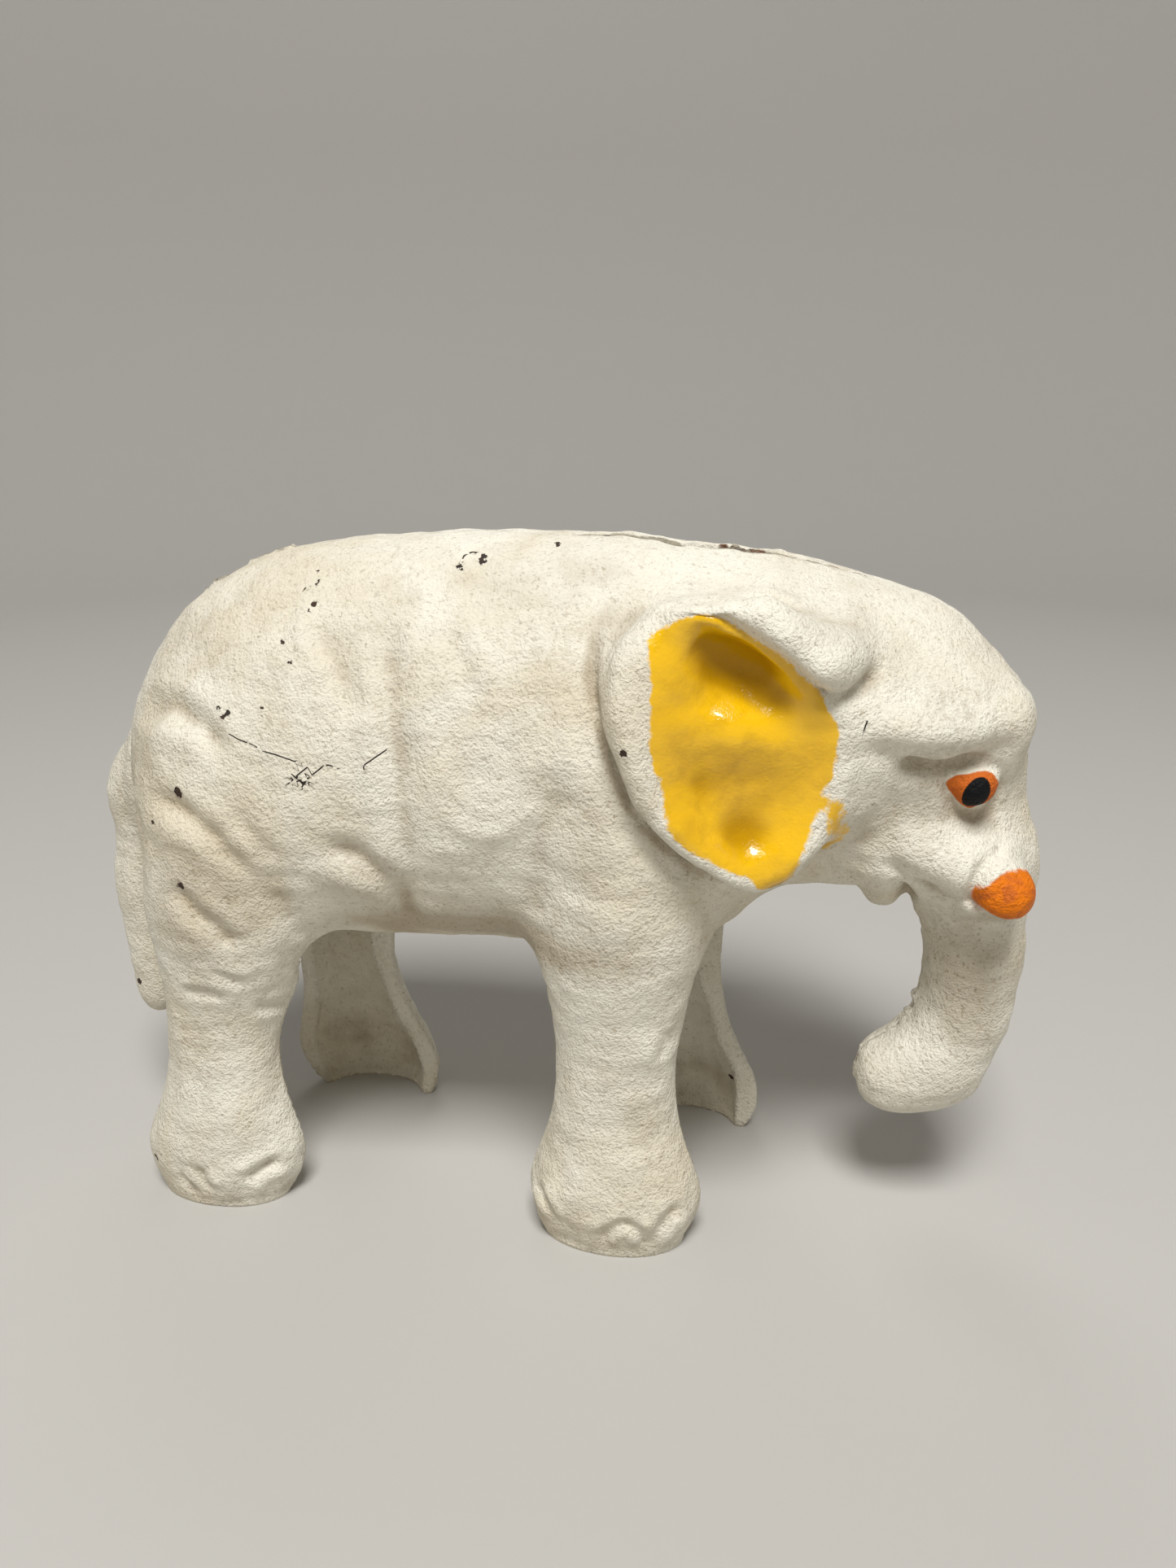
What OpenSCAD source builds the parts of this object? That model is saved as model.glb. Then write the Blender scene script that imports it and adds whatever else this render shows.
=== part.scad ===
// Hollow cast-iron elephant still bank, held together by one screw along its width.
// X points to the head, Y to the elephant's left side, Z up.
// The origin is on the floor under the middle of the length.

/* [Torso] */
// Height of the back above the floor
back_z = 110; // [100:1:124]
// Height of the belly above the floor
belly_z = 45; // [40:1:50]
// Width across the flanks
flank_w = 52; // [46:1:58]
// Rear of the rump, measured back from the middle
rump_x = 68; // [64:0.5:73]
// Front of the chest, measured forward from the middle
chest_x = 42; // [38:1:46]

/* [Head] */
// Middle of the head, measured forward from the middle
head_x = 45; // [42:1:50]
// Height of the head's middle above the floor
head_z = 83; // [78:0.5:90]
// Length of the skull
head_l = 52; // [46:1:58]
// Width of the skull
head_w = 37; // [32:1:42]
// Height of the skull
head_h = 42; // [36:1:48]
// Radius of the brow roll
brow_r = 6.3; // [5:0.1:8]
// Radius of the cheek roll
cheek_r = 6.4; // [5:0.1:8]
// Radius of the eyeball
eye_r = 3.4; // [2.6:0.1:4.5]
// Radius of the tusk stub
tusk_r = 4; // [3:0.1:5]

/* [Trunk] */
// Middle of the trunk, measured forward from the middle
trunk_x = 68.4; // [64:0.2:74]
// Radius of the trunk at its root
trunk_root_r = 9; // [8:0.1:11]
// Radius of the trunk where it is thinnest
trunk_thin_r = 6.6; // [5.6:0.1:8]
// Radius of the curled tip
trunk_tip_r = 7.4; // [6.5:0.1:9]
// Clear height under the curled tip
trunk_z = 17; // [10:0.5:24]
// Reach of the curl back towards the legs
curl_l = 10; // [6:0.5:14]

/* [Ear] */
// Length of the ear along its leaning axis
ear_l = 42; // [36:1:48]
// Width of the ear
ear_w = 31; // [26:1:36]
// Thickness of the ear plate
ear_t = 8; // [6:0.5:10]
// Depth of the hollow in the ear
ear_dish = 5; // [2:0.1:6]
// Lean of the ear's axis, tip to the front
ear_lean = 20; // [10:1:30]
// Turn of the ear's face towards the head
ear_turn = 12; // [5:1:20]
// Radius of the fold along the ear's upper edge
ear_fold_r = 4.4; // [3:0.1:5.5]

/* [Legs] */
// Middle of the right fore leg, measured forward from the middle
fore_x = 14.6; // [8:0.2:20]
// Middle of the right hind leg, measured forward from the middle
hind_x = -50; // [-54:0.5:-44]
// Lead of the left fore foot over the right one
fore_stride = 8.5; // [0:0.5:12]
// Lead of the left hind foot over the right one
hind_stride = 15; // [0:0.5:17]
// Set-back of the hind feet behind their hips
heel_set = 2.5; // [0:0.5:5]
// Width across the outsides of the feet
foot_track = 50; // [46:1:56]
// Width between the open rims of the legs
rim_track = 31; // [26:1:34]
// Half width of an ankle, fore to aft
ankle_r = 9.8; // [8:0.1:11]
// Half width of a foot, fore to aft
foot_r = 15.2; // [12:0.1:17]
// Set-in of the ankle from the outside of the foot
ankle_set = 1.8; // [0.5:0.1:3]

/* [Shell] */
// Thickness of the cast wall
wall = 3; // [2.4:0.1:3.6]
// Gap left at the joint, from each half to the middle plane
joint_gap = 0.1; // [0.05:0.05:0.3]
// Radius of the tail
tail_r = 3.9; // [3:0.1:5]
// Height of the tail's end above the floor
tail_z = 21.5; // [16:0.5:30]

/* [Coin slot] */
// Length of the coin slot
slot_l = 42; // [34:1:50]
// Width of the coin slot at its middle
slot_w = 5.2; // [4.8:0.1:7]
// Middle of the coin slot, measured forward from the middle
slot_x = 24; // [14:1:30]

/* [Joining screw] */
// Diameter of the screw
screw_d = 5; // [4:0.5:6]
// Clearance round the screw
screw_clear = 0.25; // [0.15:0.05:0.5]
// Diameter of the screw's head
screw_head_d = 9.5; // [8:0.5:12]
// Height of the screw's head
screw_head_h = 3; // [2:0.2:4]
// Length of the screw in the far boss
screw_grip = 14; // [8:0.5:18]
// Width of the driver slot
driver_w = 1.3; // [0.8:0.1:1.8]
// Diameter of the bosses round the screw
boss_d = 13; // [11:0.5:16]
// Middle of the screw, measured forward from the middle
screw_x = -2; // [-8:0.5:4]
// Height of the screw above the middle of the flank
screw_rise = 2; // [-4:0.5:6]
// Depth of the head's seat under the flank
seat_depth = 5; // [4:0.5:8]

/* [Locating pins] */
// Diameter of the cast pins
pin_d = 4; // [3:0.5:5]
// Reach of the pins past the joint
pin_l = 4; // [3:0.5:6]
// Clearance round the pins
pin_clear = 0.3; // [0.2:0.05:0.5]
// Diameter of the pads that carry the pins
pad_d = 9; // [8:0.5:12]

/* [Surface] */
// Cell size of the skin on the torso
body_cell = 4; // [3:0.1:5]
// Cell size of the skin on the head
face_cell = 3; // [2.2:0.1:4]
// Cell size of the skin on the tail, along the length
tail_cell = 2.4; // [1.8:0.1:4]
// Cell size of the hollows in the legs
leg_cell = 4.4; // [3.6:0.2:6]
// Cell size of the coin chamber
chamber_cell = 6.8; // [4:0.2:7]

/* [Hidden] */
$fn = 48;

paint = [0.90, 0.88, 0.83];
steel = [0.55, 0.54, 0.52];

// Radii over which the masses run into each other
soft = 9;
firm = 4;
crisp = 2;

// Extra depth of the legs inside their rims, and the height up to which it is trimmed flat
rim_trim = face_cell + 1;
rim_top_z = belly_z - 2;

// Furthest that a point of the skin moves to lie on its surface
most_move = 0.5;

// Depth in the torso past which nothing else shapes the skin
deep = 12;

// Overrun of a cut past the face that it opens
over = 1;

mid_z = (back_z + belly_z) / 2;
flank = flank_w / 2;
tip_z = trunk_z + trunk_tip_r;
rim_y = rim_track / 2;
foot_depth = foot_track / 2 - rim_y;
ankle_depth = foot_depth - ankle_set;

// Height at which a leg joins the body, its run into the body, the hollow's run and the foot's swell
hip_z = belly_z;
hip_rise = 8;
hollow_rise = 3;
foot_z = 6;
foot_spread = 11;

// Thigh and shoulder masses that carry the legs, and their lead over the hips
thigh = [17, 15, 27];
shoulder = [15.5, 15.5, 24];
thigh_lead = 4.5;
shoulder_lead = 1;
haunch_y = flank - thigh.y;
haunch_z = belly_z + 16;

screw_z = mid_z + screw_rise;
seat_y = flank - seat_depth;
screw_l = seat_y - joint_gap + screw_grip;

// Torso masses as centre and half sizes, with a fourth half size below the centre if it differs there
rump_z = mid_z - 7;
rump_half = 33.5;
chest_half = 26;
barrel_half = (chest_x + rump_x) / 2 - 11;
torso_half = (back_z - belly_z) / 2;
rump = [[-rump_x + rump_half, 0, rump_z], [rump_half, flank, back_z - rump_z - 3.5, rump_z - belly_z]];
barrel = [[(chest_x - rump_x) / 2 + 5, 0, mid_z], [barrel_half, flank - 0.5, torso_half]];
chest = [[chest_x - chest_half, 0, mid_z - 1], [chest_half, flank - 0.5, torso_half - 0.5]];
nape = [[(chest_x + head_x) / 2 - 11.5, 0, head_z + 1], [20, 21, head_h / 2 + 1.5]];
skull = [[head_x, 0, head_z], [head_l / 2, head_w / 2, head_h / 2]];
jaw = [[head_x, 0, head_z - 15.5], [15, 12, 10]];
lip = [[head_x + 8.7, 0, head_z - 23.2], [4.2, 7.5, 5.2]];

// Limbs as their two ends and the radius at each
brow = [
    [head_x + 4, head_w / 2 - 4, head_z + 4],
    [head_x + head_l / 2 - 5.2, 7, head_z + 2.4],
    brow_r,
    brow_r - 0.5
];
cheek = [
    [head_x + 9, head_w / 2 - 9.5, head_z - 17],
    [trunk_x - 3, 8, head_z - 20],
    cheek_r,
    cheek_r
];
tusk = [
    [trunk_x - 6, 11, head_z - 21.3],
    [trunk_x + 1, 12, head_z - 21.8],
    tusk_r,
    tusk_r
];
eye = [head_x + head_l / 2 - 7.5, head_w / 2 - 7, head_z - 5];
trunk_points = [
    [trunk_x - 5, 0, head_z - 5],
    [trunk_x - 2, 0, head_z - 21.5],
    [trunk_x, 0, (head_z + tip_z) / 2 - 7],
    [trunk_x - 0.6, 0, tip_z + 12],
    [trunk_x - 4, 0, tip_z + 3],
    [trunk_x - curl_l, 0, tip_z]
];
trunk_radii = [trunk_root_r, trunk_root_r, trunk_thin_r + 0.4, trunk_thin_r, trunk_tip_r - 0.4, trunk_tip_r];
trunk = [
    for (i = [0 : len(trunk_points) - 2])
        [trunk_points[i], trunk_points[i + 1], trunk_radii[i], trunk_radii[i + 1]]
];
tail_points = [
    [-rump_x + 2.5, 0, mid_z + 2],
    [-rump_x - 2.6, 0, mid_z - 12],
    [-rump_x - 3.6, 0, mid_z - 30],
    [-rump_x - 3.2, 0, tail_z + tail_r]
];
tail = [
    for (i = [0 : len(tail_points) - 2], root = [0, 5])
        [tail_points[i] + [root, 0, 0], tail_points[i + 1] + [root, 0, root / 2], tail_r, tail_r]
];

ear_root = [
    [chest_x + 1, head_w / 2 - 3, head_z + 11],
    [chest_x + 2, head_w / 2 - 4, head_z - 6],
    6.5,
    6.5
];

face_masses = concat([jaw, brow, cheek, ear_root], trunk);

// Ear frame: middle of the plate, then the directions across, out of and along it
ear_mid = [chest_x - 11.5, flank + 1.5, head_z + 1.5];
ear_along = [-sin(ear_lean), 0, cos(ear_lean)];
ear_out = [sin(ear_turn) * cos(ear_lean), cos(ear_turn), sin(ear_turn) * sin(ear_lean)];
ear_across = cross(ear_along, ear_out);
ear_fold = [
    ear_mid + ear_along * (ear_l / 2 - 2.5) - ear_across * 4.5 - ear_out * 2,
    ear_mid + ear_along * (ear_l / 2 - 15) - ear_across * ear_w / 2 - ear_out * 3,
    ear_fold_r - 0.6,
    ear_fold_r + 0.8
];

// Legs of a side as hip and foot places, then the mass at the top and its lead over the hip
right_legs = [
    [fore_x, fore_x, shoulder, shoulder_lead],
    [hind_x, hind_x - heel_set, thigh, thigh_lead]
];
left_legs = [
    [fore_x + fore_stride / 3, fore_x + fore_stride, shoulder, shoulder_lead],
    [hind_x + hind_stride / 3, hind_x - heel_set + hind_stride, thigh, thigh_lead]
];

// Distance to an ellipsoid, to a limb and to a mass of either kind
function ellipsoid(p, size) =
    let (a = norm([p.x / size.x, p.y / size.y, p.z / size.z]))
    let (b = norm([p.x / size.x ^ 2, p.y / size.y ^ 2, p.z / size.z ^ 2]))
    a * (a - 1) / max(b, 0.0001);

function limb(p, from, to, r0, r1) =
    let (v = to - from, t = max(0, min(1, (p - from) * v / (v * v))))
    norm(p - from - v * t) - r0 - (r1 - r0) * t;

function mass(p, m) =
    len(m) == 4 ? limb(p, m[0], m[1], m[2], m[3])
    : len(m[1]) == 4 && p.z < m[0].z ? ellipsoid(p - m[0], [m[1].x, m[1].y, m[1][3]])
    : ellipsoid(p - m[0], m[1]);

// Soft union of two distances, and of a list of masses
function join(a, b, r) =
    let (h = max(r - abs(a - b), 0))
    min(a, b) - h * h / r / 4;

function blend(p, list, r, i = 0, d = 1000) =
    i == len(list) ? d : blend(p, list, r, i + 1, join(d, mass(p, list[i]), r));

// Ear plate with round edges, its fold and its hollow
function ear(p) =
    let (q = p - ear_mid, u = q * ear_across, v = q * ear_out, w = q * ear_along)
    let (edge = ellipsoid([u, 0, w], [ear_w / 2, 1, ear_l / 2]) + ear_t / 2)
    let (face = abs(v + ear_t / 2))
    let (plate = norm([max(edge, 0), max(face, 0)]) + min(max(edge, face), 0) - ear_t / 2)
    let (hollow = ellipsoid([u + 5, v - 9 + ear_dish, w + 1.5], [ear_w / 2 - 1, 9, ear_l / 2 - 3]))
    join(-join(-plate, hollow, crisp), mass(p, ear_fold), firm);

// Chamber outline, then everything but the legs
function core(p) = blend(p, [rump, barrel, chest, nape, skull], soft);

function body(p) =
    let (c = core(p))
    c < -deep ? c
    : let (face = blend(p, face_masses, firm))
      let (trim = min(blend(p, [lip, tusk], crisp), blend(p, tail, firm)))
        join(join(join(c, face, firm + 1), trim, crisp), ear(p), firm);

// Swell of the foot at a height, then one leg as a swept half ellipse with its mass on top
function swell(z) = exp(-((z - foot_z) / foot_spread) ^ 2);

function leg(p, l) =
    let (x = l[1] + (l[0] - l[1]) * min(p.z / hip_z, 1), s = swell(p.z))
    let (a = ankle_r + (foot_r - ankle_r) * s, b = ankle_depth + (foot_depth - ankle_depth) * s)
    let (stem = -join(-ellipsoid([p.x - x, p.y - rim_y, 0], [a, b, 1]), hip_z + hip_rise - p.z, soft))
    join(stem, ellipsoid(p - [l[0] + l[3], haunch_y, haunch_z], l[2]), soft);

function legs(p, list) = min([for (l = list) leg(p, l)]);

// Fields of the three skins: the outside, the hollows in the legs and the coin chamber
function outside(p, list) =
    let (b = body(p))
    let (trim = rim_trim * max(0, min(1, (rim_top_z - p.z) / body_cell)))
    b < -deep ? b : min(b, max(join(b, legs(p, list), firm), rim_y - trim - p.y));

function leg_hollow(p, list) = max(legs(p, list) + wall, 0.5 - core(p), p.z - hip_z - hollow_rise);

function field(p, kind, list) =
    kind == "outside" ? outside(p, list)
    : kind == "leg_hollow" ? leg_hollow(p, list)
    : core(p) + wall;

// Lattice lines over a stretch, with two cells to spare at each end
function lines(from, to, step) = [for (i = [-2 : ceil((to - from) / step) + 2]) from + i * step];

// Lattice lines up the outside, close from the mouth to the back
function height_lines(top) =
    let (mouth_z = ceil((head_z - head_h * 0.65) / body_cell) * body_cell)
    concat(
        [for (z = [-2 * body_cell : body_cell : mouth_z - body_cell / 2]) z],
        [for (z = [mouth_z : face_cell : top + 3 * face_cell]) z]
    );

// Lattice lines along X for the outside, wide on the torso and close on the tail and from ear to trunk
function outside_lines(face_x) =
    let (tail_x = face_x - floor((face_x + rump_x - tail_r) / body_cell) * body_cell)
    let (rear_x = -rump_x - 2 * tail_r - 3 * tail_cell)
    concat(
        [for (i = [ceil((tail_x - rear_x) / tail_cell) : -1 : 1]) tail_x - i * tail_cell],
        [for (x = [tail_x : body_cell : face_x - body_cell / 2]) x],
        lines(face_x + 2 * face_cell, trunk_x + trunk_root_r, face_cell)
    );

// Closed skin round the inside of a field, one point in each lattice cell that the surface crosses
module skin(xs, ys, zs, kind, list = []) {
    count = [len(xs) - 1, len(ys) - 1, len(zs) - 1];
    low = [xs[1] + xs[2], ys[1] + ys[2], zs[1] + zs[2]] / 2;
    high = [
        xs[count.x - 1] + xs[count.x - 2],
        ys[count.y - 1] + ys[count.y - 2],
        zs[count.z - 1] + zs[count.z - 2]
    ] / 2;
    function at(p) = max(field(p, kind, list), max(low - p), max(p - high));
    value = [for (x = xs) [for (y = ys) [for (z = zs) at([x, y, z])]]];
    corner = [for (x = [0, 1], y = [0, 1], z = [0, 1]) [x, y, z]];
    edges = [
        for (a = [0 : 7], b = [a + 1 : 7])
            if (norm(corner[a] - corner[b]) == 1) [corner[a], corner[b]]
    ];
    function v(c) = value[c.x][c.y][c.z];
    function place(c) = [xs[c.x], ys[c.y], zs[c.z]];
    function crossings(c) = [
        for (e = edges)
            let (a = v(c + e[0]), b = v(c + e[1]))
            if ((a < 0) != (b < 0)) (b * place(c + e[0]) - a * place(c + e[1])) / (b - a)
    ];
    function settle(p) =
        let (d = at(p), s = 0.05)
        let (g = [at(p + [s, 0, 0]) - d, at(p + [0, s, 0]) - d, at(p + [0, 0, s]) - d] / s)
        let (move = g * d / max(g * g, 0.2))
        p - move * min(1, most_move / max(norm(move), 0.0001));
    cells = [
        for (x = [0 : count.x - 1], y = [0 : count.y - 1], z = [0 : count.z - 1])
            let (cut = crossings([x, y, z]))
            len(cut) == 0 ? undef : settle([for (c = cut) 1] * cut / len(cut))
    ];
    points = [for (p = cells) if (!is_undef(p)) p];
    ids = [
        for (i = 0, n = 0; i < len(cells); n = n + (is_undef(cells[i]) ? 0 : 1), i = i + 1) n
    ];
    function id(c) = ids[(c.x * count.y + c.y) * count.z + c.z];
    unit = [[1, 0, 0], [0, 1, 0], [0, 0, 1]];
    faces = [
        for (x = [1 : count.x - 1], y = [1 : count.y - 1], z = [1 : count.z - 1], i = [0 : 2])
            let (c = [x, y, z], a = v(c), b = v(c + unit[i]))
            if ((a < 0) != (b < 0))
                let (s = unit[(i + 1) % 3], t = unit[(i + 2) % 3])
                let (q = [id(c - s - t), id(c - t), id(c), id(c - s)])
                let (r = a < 0 ? [q[0], q[3], q[2], q[1]] : q)
                let (p = [for (n = r) points[n]], long = norm(p[0] - p[2]) > norm(p[1] - p[3]))
                each long ? [[r[1], r[2], r[3]], [r[1], r[3], r[0]]] : [[r[0], r[1], r[2]], [r[0], r[2], r[3]]]
    ];
    polyhedron(points, faces);
}

// One cast half on the +Y side, before its machined features
module casting(list) {
    side_y = flank + ear_t;
    seam_y = -0.3;
    top_z = max(back_z, head_z + head_h / 2);
    rear_x = min([for (l = list) l[1]]) - foot_r;
    front_x = max([for (l = list) l[1]]) + foot_r;
    resize([0, 0, 0])
        difference() {
            skin(
                outside_lines(chest_x - ear_w),
                lines(seam_y - face_cell / 2, side_y, face_cell),
                height_lines(top_z),
                "outside",
                list
            );
            skin(
                lines(rear_x, front_x, leg_cell),
                lines(rim_y - leg_cell, side_y, leg_cell),
                lines(-leg_cell, hip_z + hollow_rise, leg_cell),
                "leg_hollow",
                list
            );
            skin(
                lines(-rump_x, head_x + head_l / 2, chamber_cell),
                lines(0, flank, chamber_cell),
                lines(belly_z, top_z, chamber_cell),
                "chamber"
            );
            translate([rear_x - foot_r, tail_r + over, -over])
                cube([front_x - rear_x + 2 * foot_r, rim_y - tail_r - over, rim_top_z + over]);
            translate([-2 * back_z, joint_gap - 4 * back_z, -back_z]) cube(4 * back_z);
            translate([-2 * back_z, -2 * back_z, -4 * back_z]) cube(4 * back_z);
        }
}

// Cylinder along Y between two distances from the middle plane
module bar(x, z, d, from, to) {
    translate([x, to, z]) rotate([90, 0, 0]) cylinder(d = d, h = to - from);
}

// Half width of a mass at a place along it, which limits the reach of a pad
function skin_y(m, x) = m[1].y * sqrt(1 - ((x - m[0].x) / m[1].x) ^ 2);

// Pads as their place along the length, the place of their outer edge and the mass that carries them
rear_pad_x = -rump_x + wall + pad_d / 2 + 0.5;
front_pad_x = head_x + head_l / 2 - wall - pad_d / 2 - 1.5;
pad_places = [
    [rear_pad_x, rear_pad_x - pad_d / 2, rump],
    [front_pad_x, front_pad_x + pad_d / 2, skull]
];

module pads() {
    for (p = pad_places)
        bar(p[0], p[2][0].z, pad_d, joint_gap, skin_y(p[2], p[1]) - over);
}

// Lens-shaped half of the coin slot through the top of one half
module slot_cut() {
    r = (slot_l ^ 2 / 4 + slot_w ^ 2 / 4) / slot_w;
    translate([slot_x, slot_w / 2 - r, head_z + head_h / 4])
        cylinder(r = r, h = back_z, $fn = 240);
}

// Half with its eye, boss and pads
module shell(list) {
    difference() {
        union() {
            casting(list);
            translate(eye) sphere(eye_r);
            bar(screw_x, screw_z, boss_d, joint_gap, flank - wall / 2);
            pads();
        }
        slot_cut();
    }
}

module right_half() {
    hole_d = screw_d + 2 * screw_clear;
    color(paint) {
        difference() {
            mirror([0, 1, 0]) shell(right_legs);
            bar(screw_x, screw_z, hole_d, -screw_grip - joint_gap - over, 0);
        }
        for (p = pad_places)
            bar(p[0], p[2][0].z, pin_d, -pin_l, pin_l);
    }
}

module left_half() {
    hole_d = screw_d + 2 * screw_clear;
    color(paint)
        difference() {
            shell(left_legs);
            bar(screw_x, screw_z, hole_d, 0, seat_y + over);
            bar(screw_x, screw_z, screw_head_d + 4 * screw_clear, seat_y, 2 * flank);
            for (p = pad_places)
                bar(p[0], p[2][0].z, pin_d + 2 * pin_clear, 0, pin_l + over);
        }
}

module joining_screw() {
    color(steel)
        difference() {
            union() {
                bar(screw_x, screw_z, screw_d, seat_y - screw_l, seat_y + screw_head_h / 2);
                bar(screw_x, screw_z, screw_head_d, seat_y, seat_y + screw_head_h);
            }
            translate([screw_x - screw_head_d, seat_y + screw_head_h / 2, screw_z - driver_w / 2])
                cube([2 * screw_head_d, screw_head_h, driver_w]);
        }
}

right_half();
left_half();
joining_screw();
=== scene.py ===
"""Elephant still bank: painted cast-iron half shells and the screw that joins them."""

import logging
import math
from abc import ABC, abstractmethod
from dataclasses import dataclass
from enum import Enum

import bmesh
import bpy
import numpy as np
from mathutils import Matrix, Vector


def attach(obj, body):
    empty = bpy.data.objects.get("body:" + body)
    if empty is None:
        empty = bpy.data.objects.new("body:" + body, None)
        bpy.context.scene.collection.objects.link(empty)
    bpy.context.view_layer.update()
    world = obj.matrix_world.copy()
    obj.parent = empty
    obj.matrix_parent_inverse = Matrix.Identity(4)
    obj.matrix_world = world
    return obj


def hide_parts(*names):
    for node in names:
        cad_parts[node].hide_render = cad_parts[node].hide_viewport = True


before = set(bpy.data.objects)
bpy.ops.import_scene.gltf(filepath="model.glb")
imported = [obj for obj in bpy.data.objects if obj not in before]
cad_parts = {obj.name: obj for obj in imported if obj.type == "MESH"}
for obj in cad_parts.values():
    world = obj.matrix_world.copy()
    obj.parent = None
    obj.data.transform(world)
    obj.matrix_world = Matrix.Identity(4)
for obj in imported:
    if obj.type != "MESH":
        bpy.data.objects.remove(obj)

LOG = logging.getLogger("still_bank")
# One millimetre, and the distance at which points are one, in metres
MM = 0.001
WELD = 0.001 * MM
# Height of the hips, where the left legs' lead ends, in millimetres
HIP_Z = 45.0
# Points per stretch of a rounded line, share of a groove that fades out at each end, waves in a noise
CURVE_STEPS = 5
END_FADE = 0.22
NOISE_WAVES = 14
# Stand-ins for a distance past everything, a place with no crack and one with no paint, in millimetres
FAR = 1e9
NO_CRACK = 9.0
NO_PAINT = -50.0
Colour = tuple[float, float, float]
Place = tuple[float, float, float]
Socket = bpy.types.NodeSocket
Array = np.ndarray


class Side(Enum):
    """Side of the elephant that a half shell is on."""

    RIGHT = -1
    LEFT = 1


class Mark(Enum):
    """Names of the values that a casting's skin carries to its finish."""

    EAR = "ear_paint"
    TUSK = "tusk_paint"
    EYE = "eye_paint"
    PUPIL = "pupil_paint"
    CAVITY = "cavity"
    CHAMBER = "chamber"
    CHIP = "chip"
    CRACK = "crack_across"
    CRACKED = "crack_near"
    WORN = "worn_slot"
    # Soil and painted shade on the lower and shaded parts
    SOIL = "soil"


class Leg(Enum):
    """Limb that a worked form is on, with the left side's lead at its foot and its hip."""

    NONE = (0.0, 0.0)
    FORE = (8.5, 2.8)
    HIND = (15.0, 5.0)


def smooth_step(low: float, high: float, value: Array) -> Array:
    """Ease from 0 at one value to 1 at another.

    Args:
        low: value where the result starts to rise.
        high: value where it reaches 1.
        value: values to map.

    Returns:
        The eased values, from 0 to 1.
    """
    t = np.clip((value - low) / (high - low), 0.0, 1.0)
    return t * t * (3.0 - 2.0 * t)


def smooth_line(corners: Array, closed: bool = False) -> Array:
    """Round a line of straight stretches off into a curve through its corners.

    Args:
        corners: one row per corner.
        closed: whether the line runs back to its start.

    Returns:
        The points of the curve, one row each.
    """
    if closed:
        ends = np.vstack([corners[-1:], corners, corners[:2]])
    else:
        first, last = 2.0 * corners[:1] - corners[1:2], 2.0 * corners[-1:] - corners[-2:-1]
        ends = np.vstack([first, corners, last])
    t = np.linspace(0.0, 1.0, CURVE_STEPS, endpoint=False)[:, None]
    curve = []
    for a, b, c, d in zip(ends[:-3], ends[1:-2], ends[2:-1], ends[3:]):
        bend = (2.0 * a - 5.0 * b + 4.0 * c - d) * t + (3.0 * b - a - 3.0 * c + d) * t * t
        curve.append(b + 0.5 * t * (c - a + bend))
    return np.vstack(curve + [ends[-2:-1]])


def line_place(points: Array, line: Array) -> tuple[Array, Array, Array]:
    """Find where points lie beside a line of straight stretches.

    Args:
        points: one row per point.
        line: one row per corner of the line.

    Returns:
        Distance of each point, its share of the way along, and the side of the line that it is on.
    """
    best = np.full(len(points), FAR)
    share = np.zeros(len(points))
    turn = np.ones(len(points))
    runs = np.diff(line, axis=0)
    lengths = np.linalg.norm(runs, axis=1)
    total = lengths.sum()
    before = np.concatenate([[0.0], np.cumsum(lengths)])
    for start, run, length, done in zip(line[:-1], runs, lengths, before):
        off = points - start
        t = np.clip(off @ run / max(length ** 2, 1.0 / FAR), 0.0, 1.0)
        far = np.linalg.norm(off - t[:, None] * run, axis=1)
        nearer = far < best
        best = np.where(nearer, far, best)
        share = np.where(nearer, (done + t * length) / total, share)
        turn = np.where(nearer, np.sign(off[:, 0] * run[-1] - off[:, -1] * run[0]), turn)
    return best, share, turn


def distance(points: Array, centre: tuple[float, ...]) -> Array:
    """Return the distance of each point from a centre."""
    return np.linalg.norm(points - np.array(centre), axis=1)


def rolling_noise(points: Array, wave: float, seed: int) -> Array:
    """Smooth noise made of turned waves, the same in each run.

    Args:
        points: places in millimetres, one row each.
        wave: typical length of a swell in millimetres.
        seed: start of the random directions.

    Returns:
        One value per point, mostly from -1 to 1.
    """
    draw = np.random.default_rng(seed)
    total = np.zeros(len(points))
    for _ in range(NOISE_WAVES):
        way = draw.normal(size=3)
        way *= 2.0 * math.pi / (wave * draw.uniform(0.7, 1.6)) / np.linalg.norm(way)
        total += np.sin(points @ way + draw.uniform(0.0, 2.0 * math.pi))
    return total / math.sqrt(NOISE_WAVES)


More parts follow.
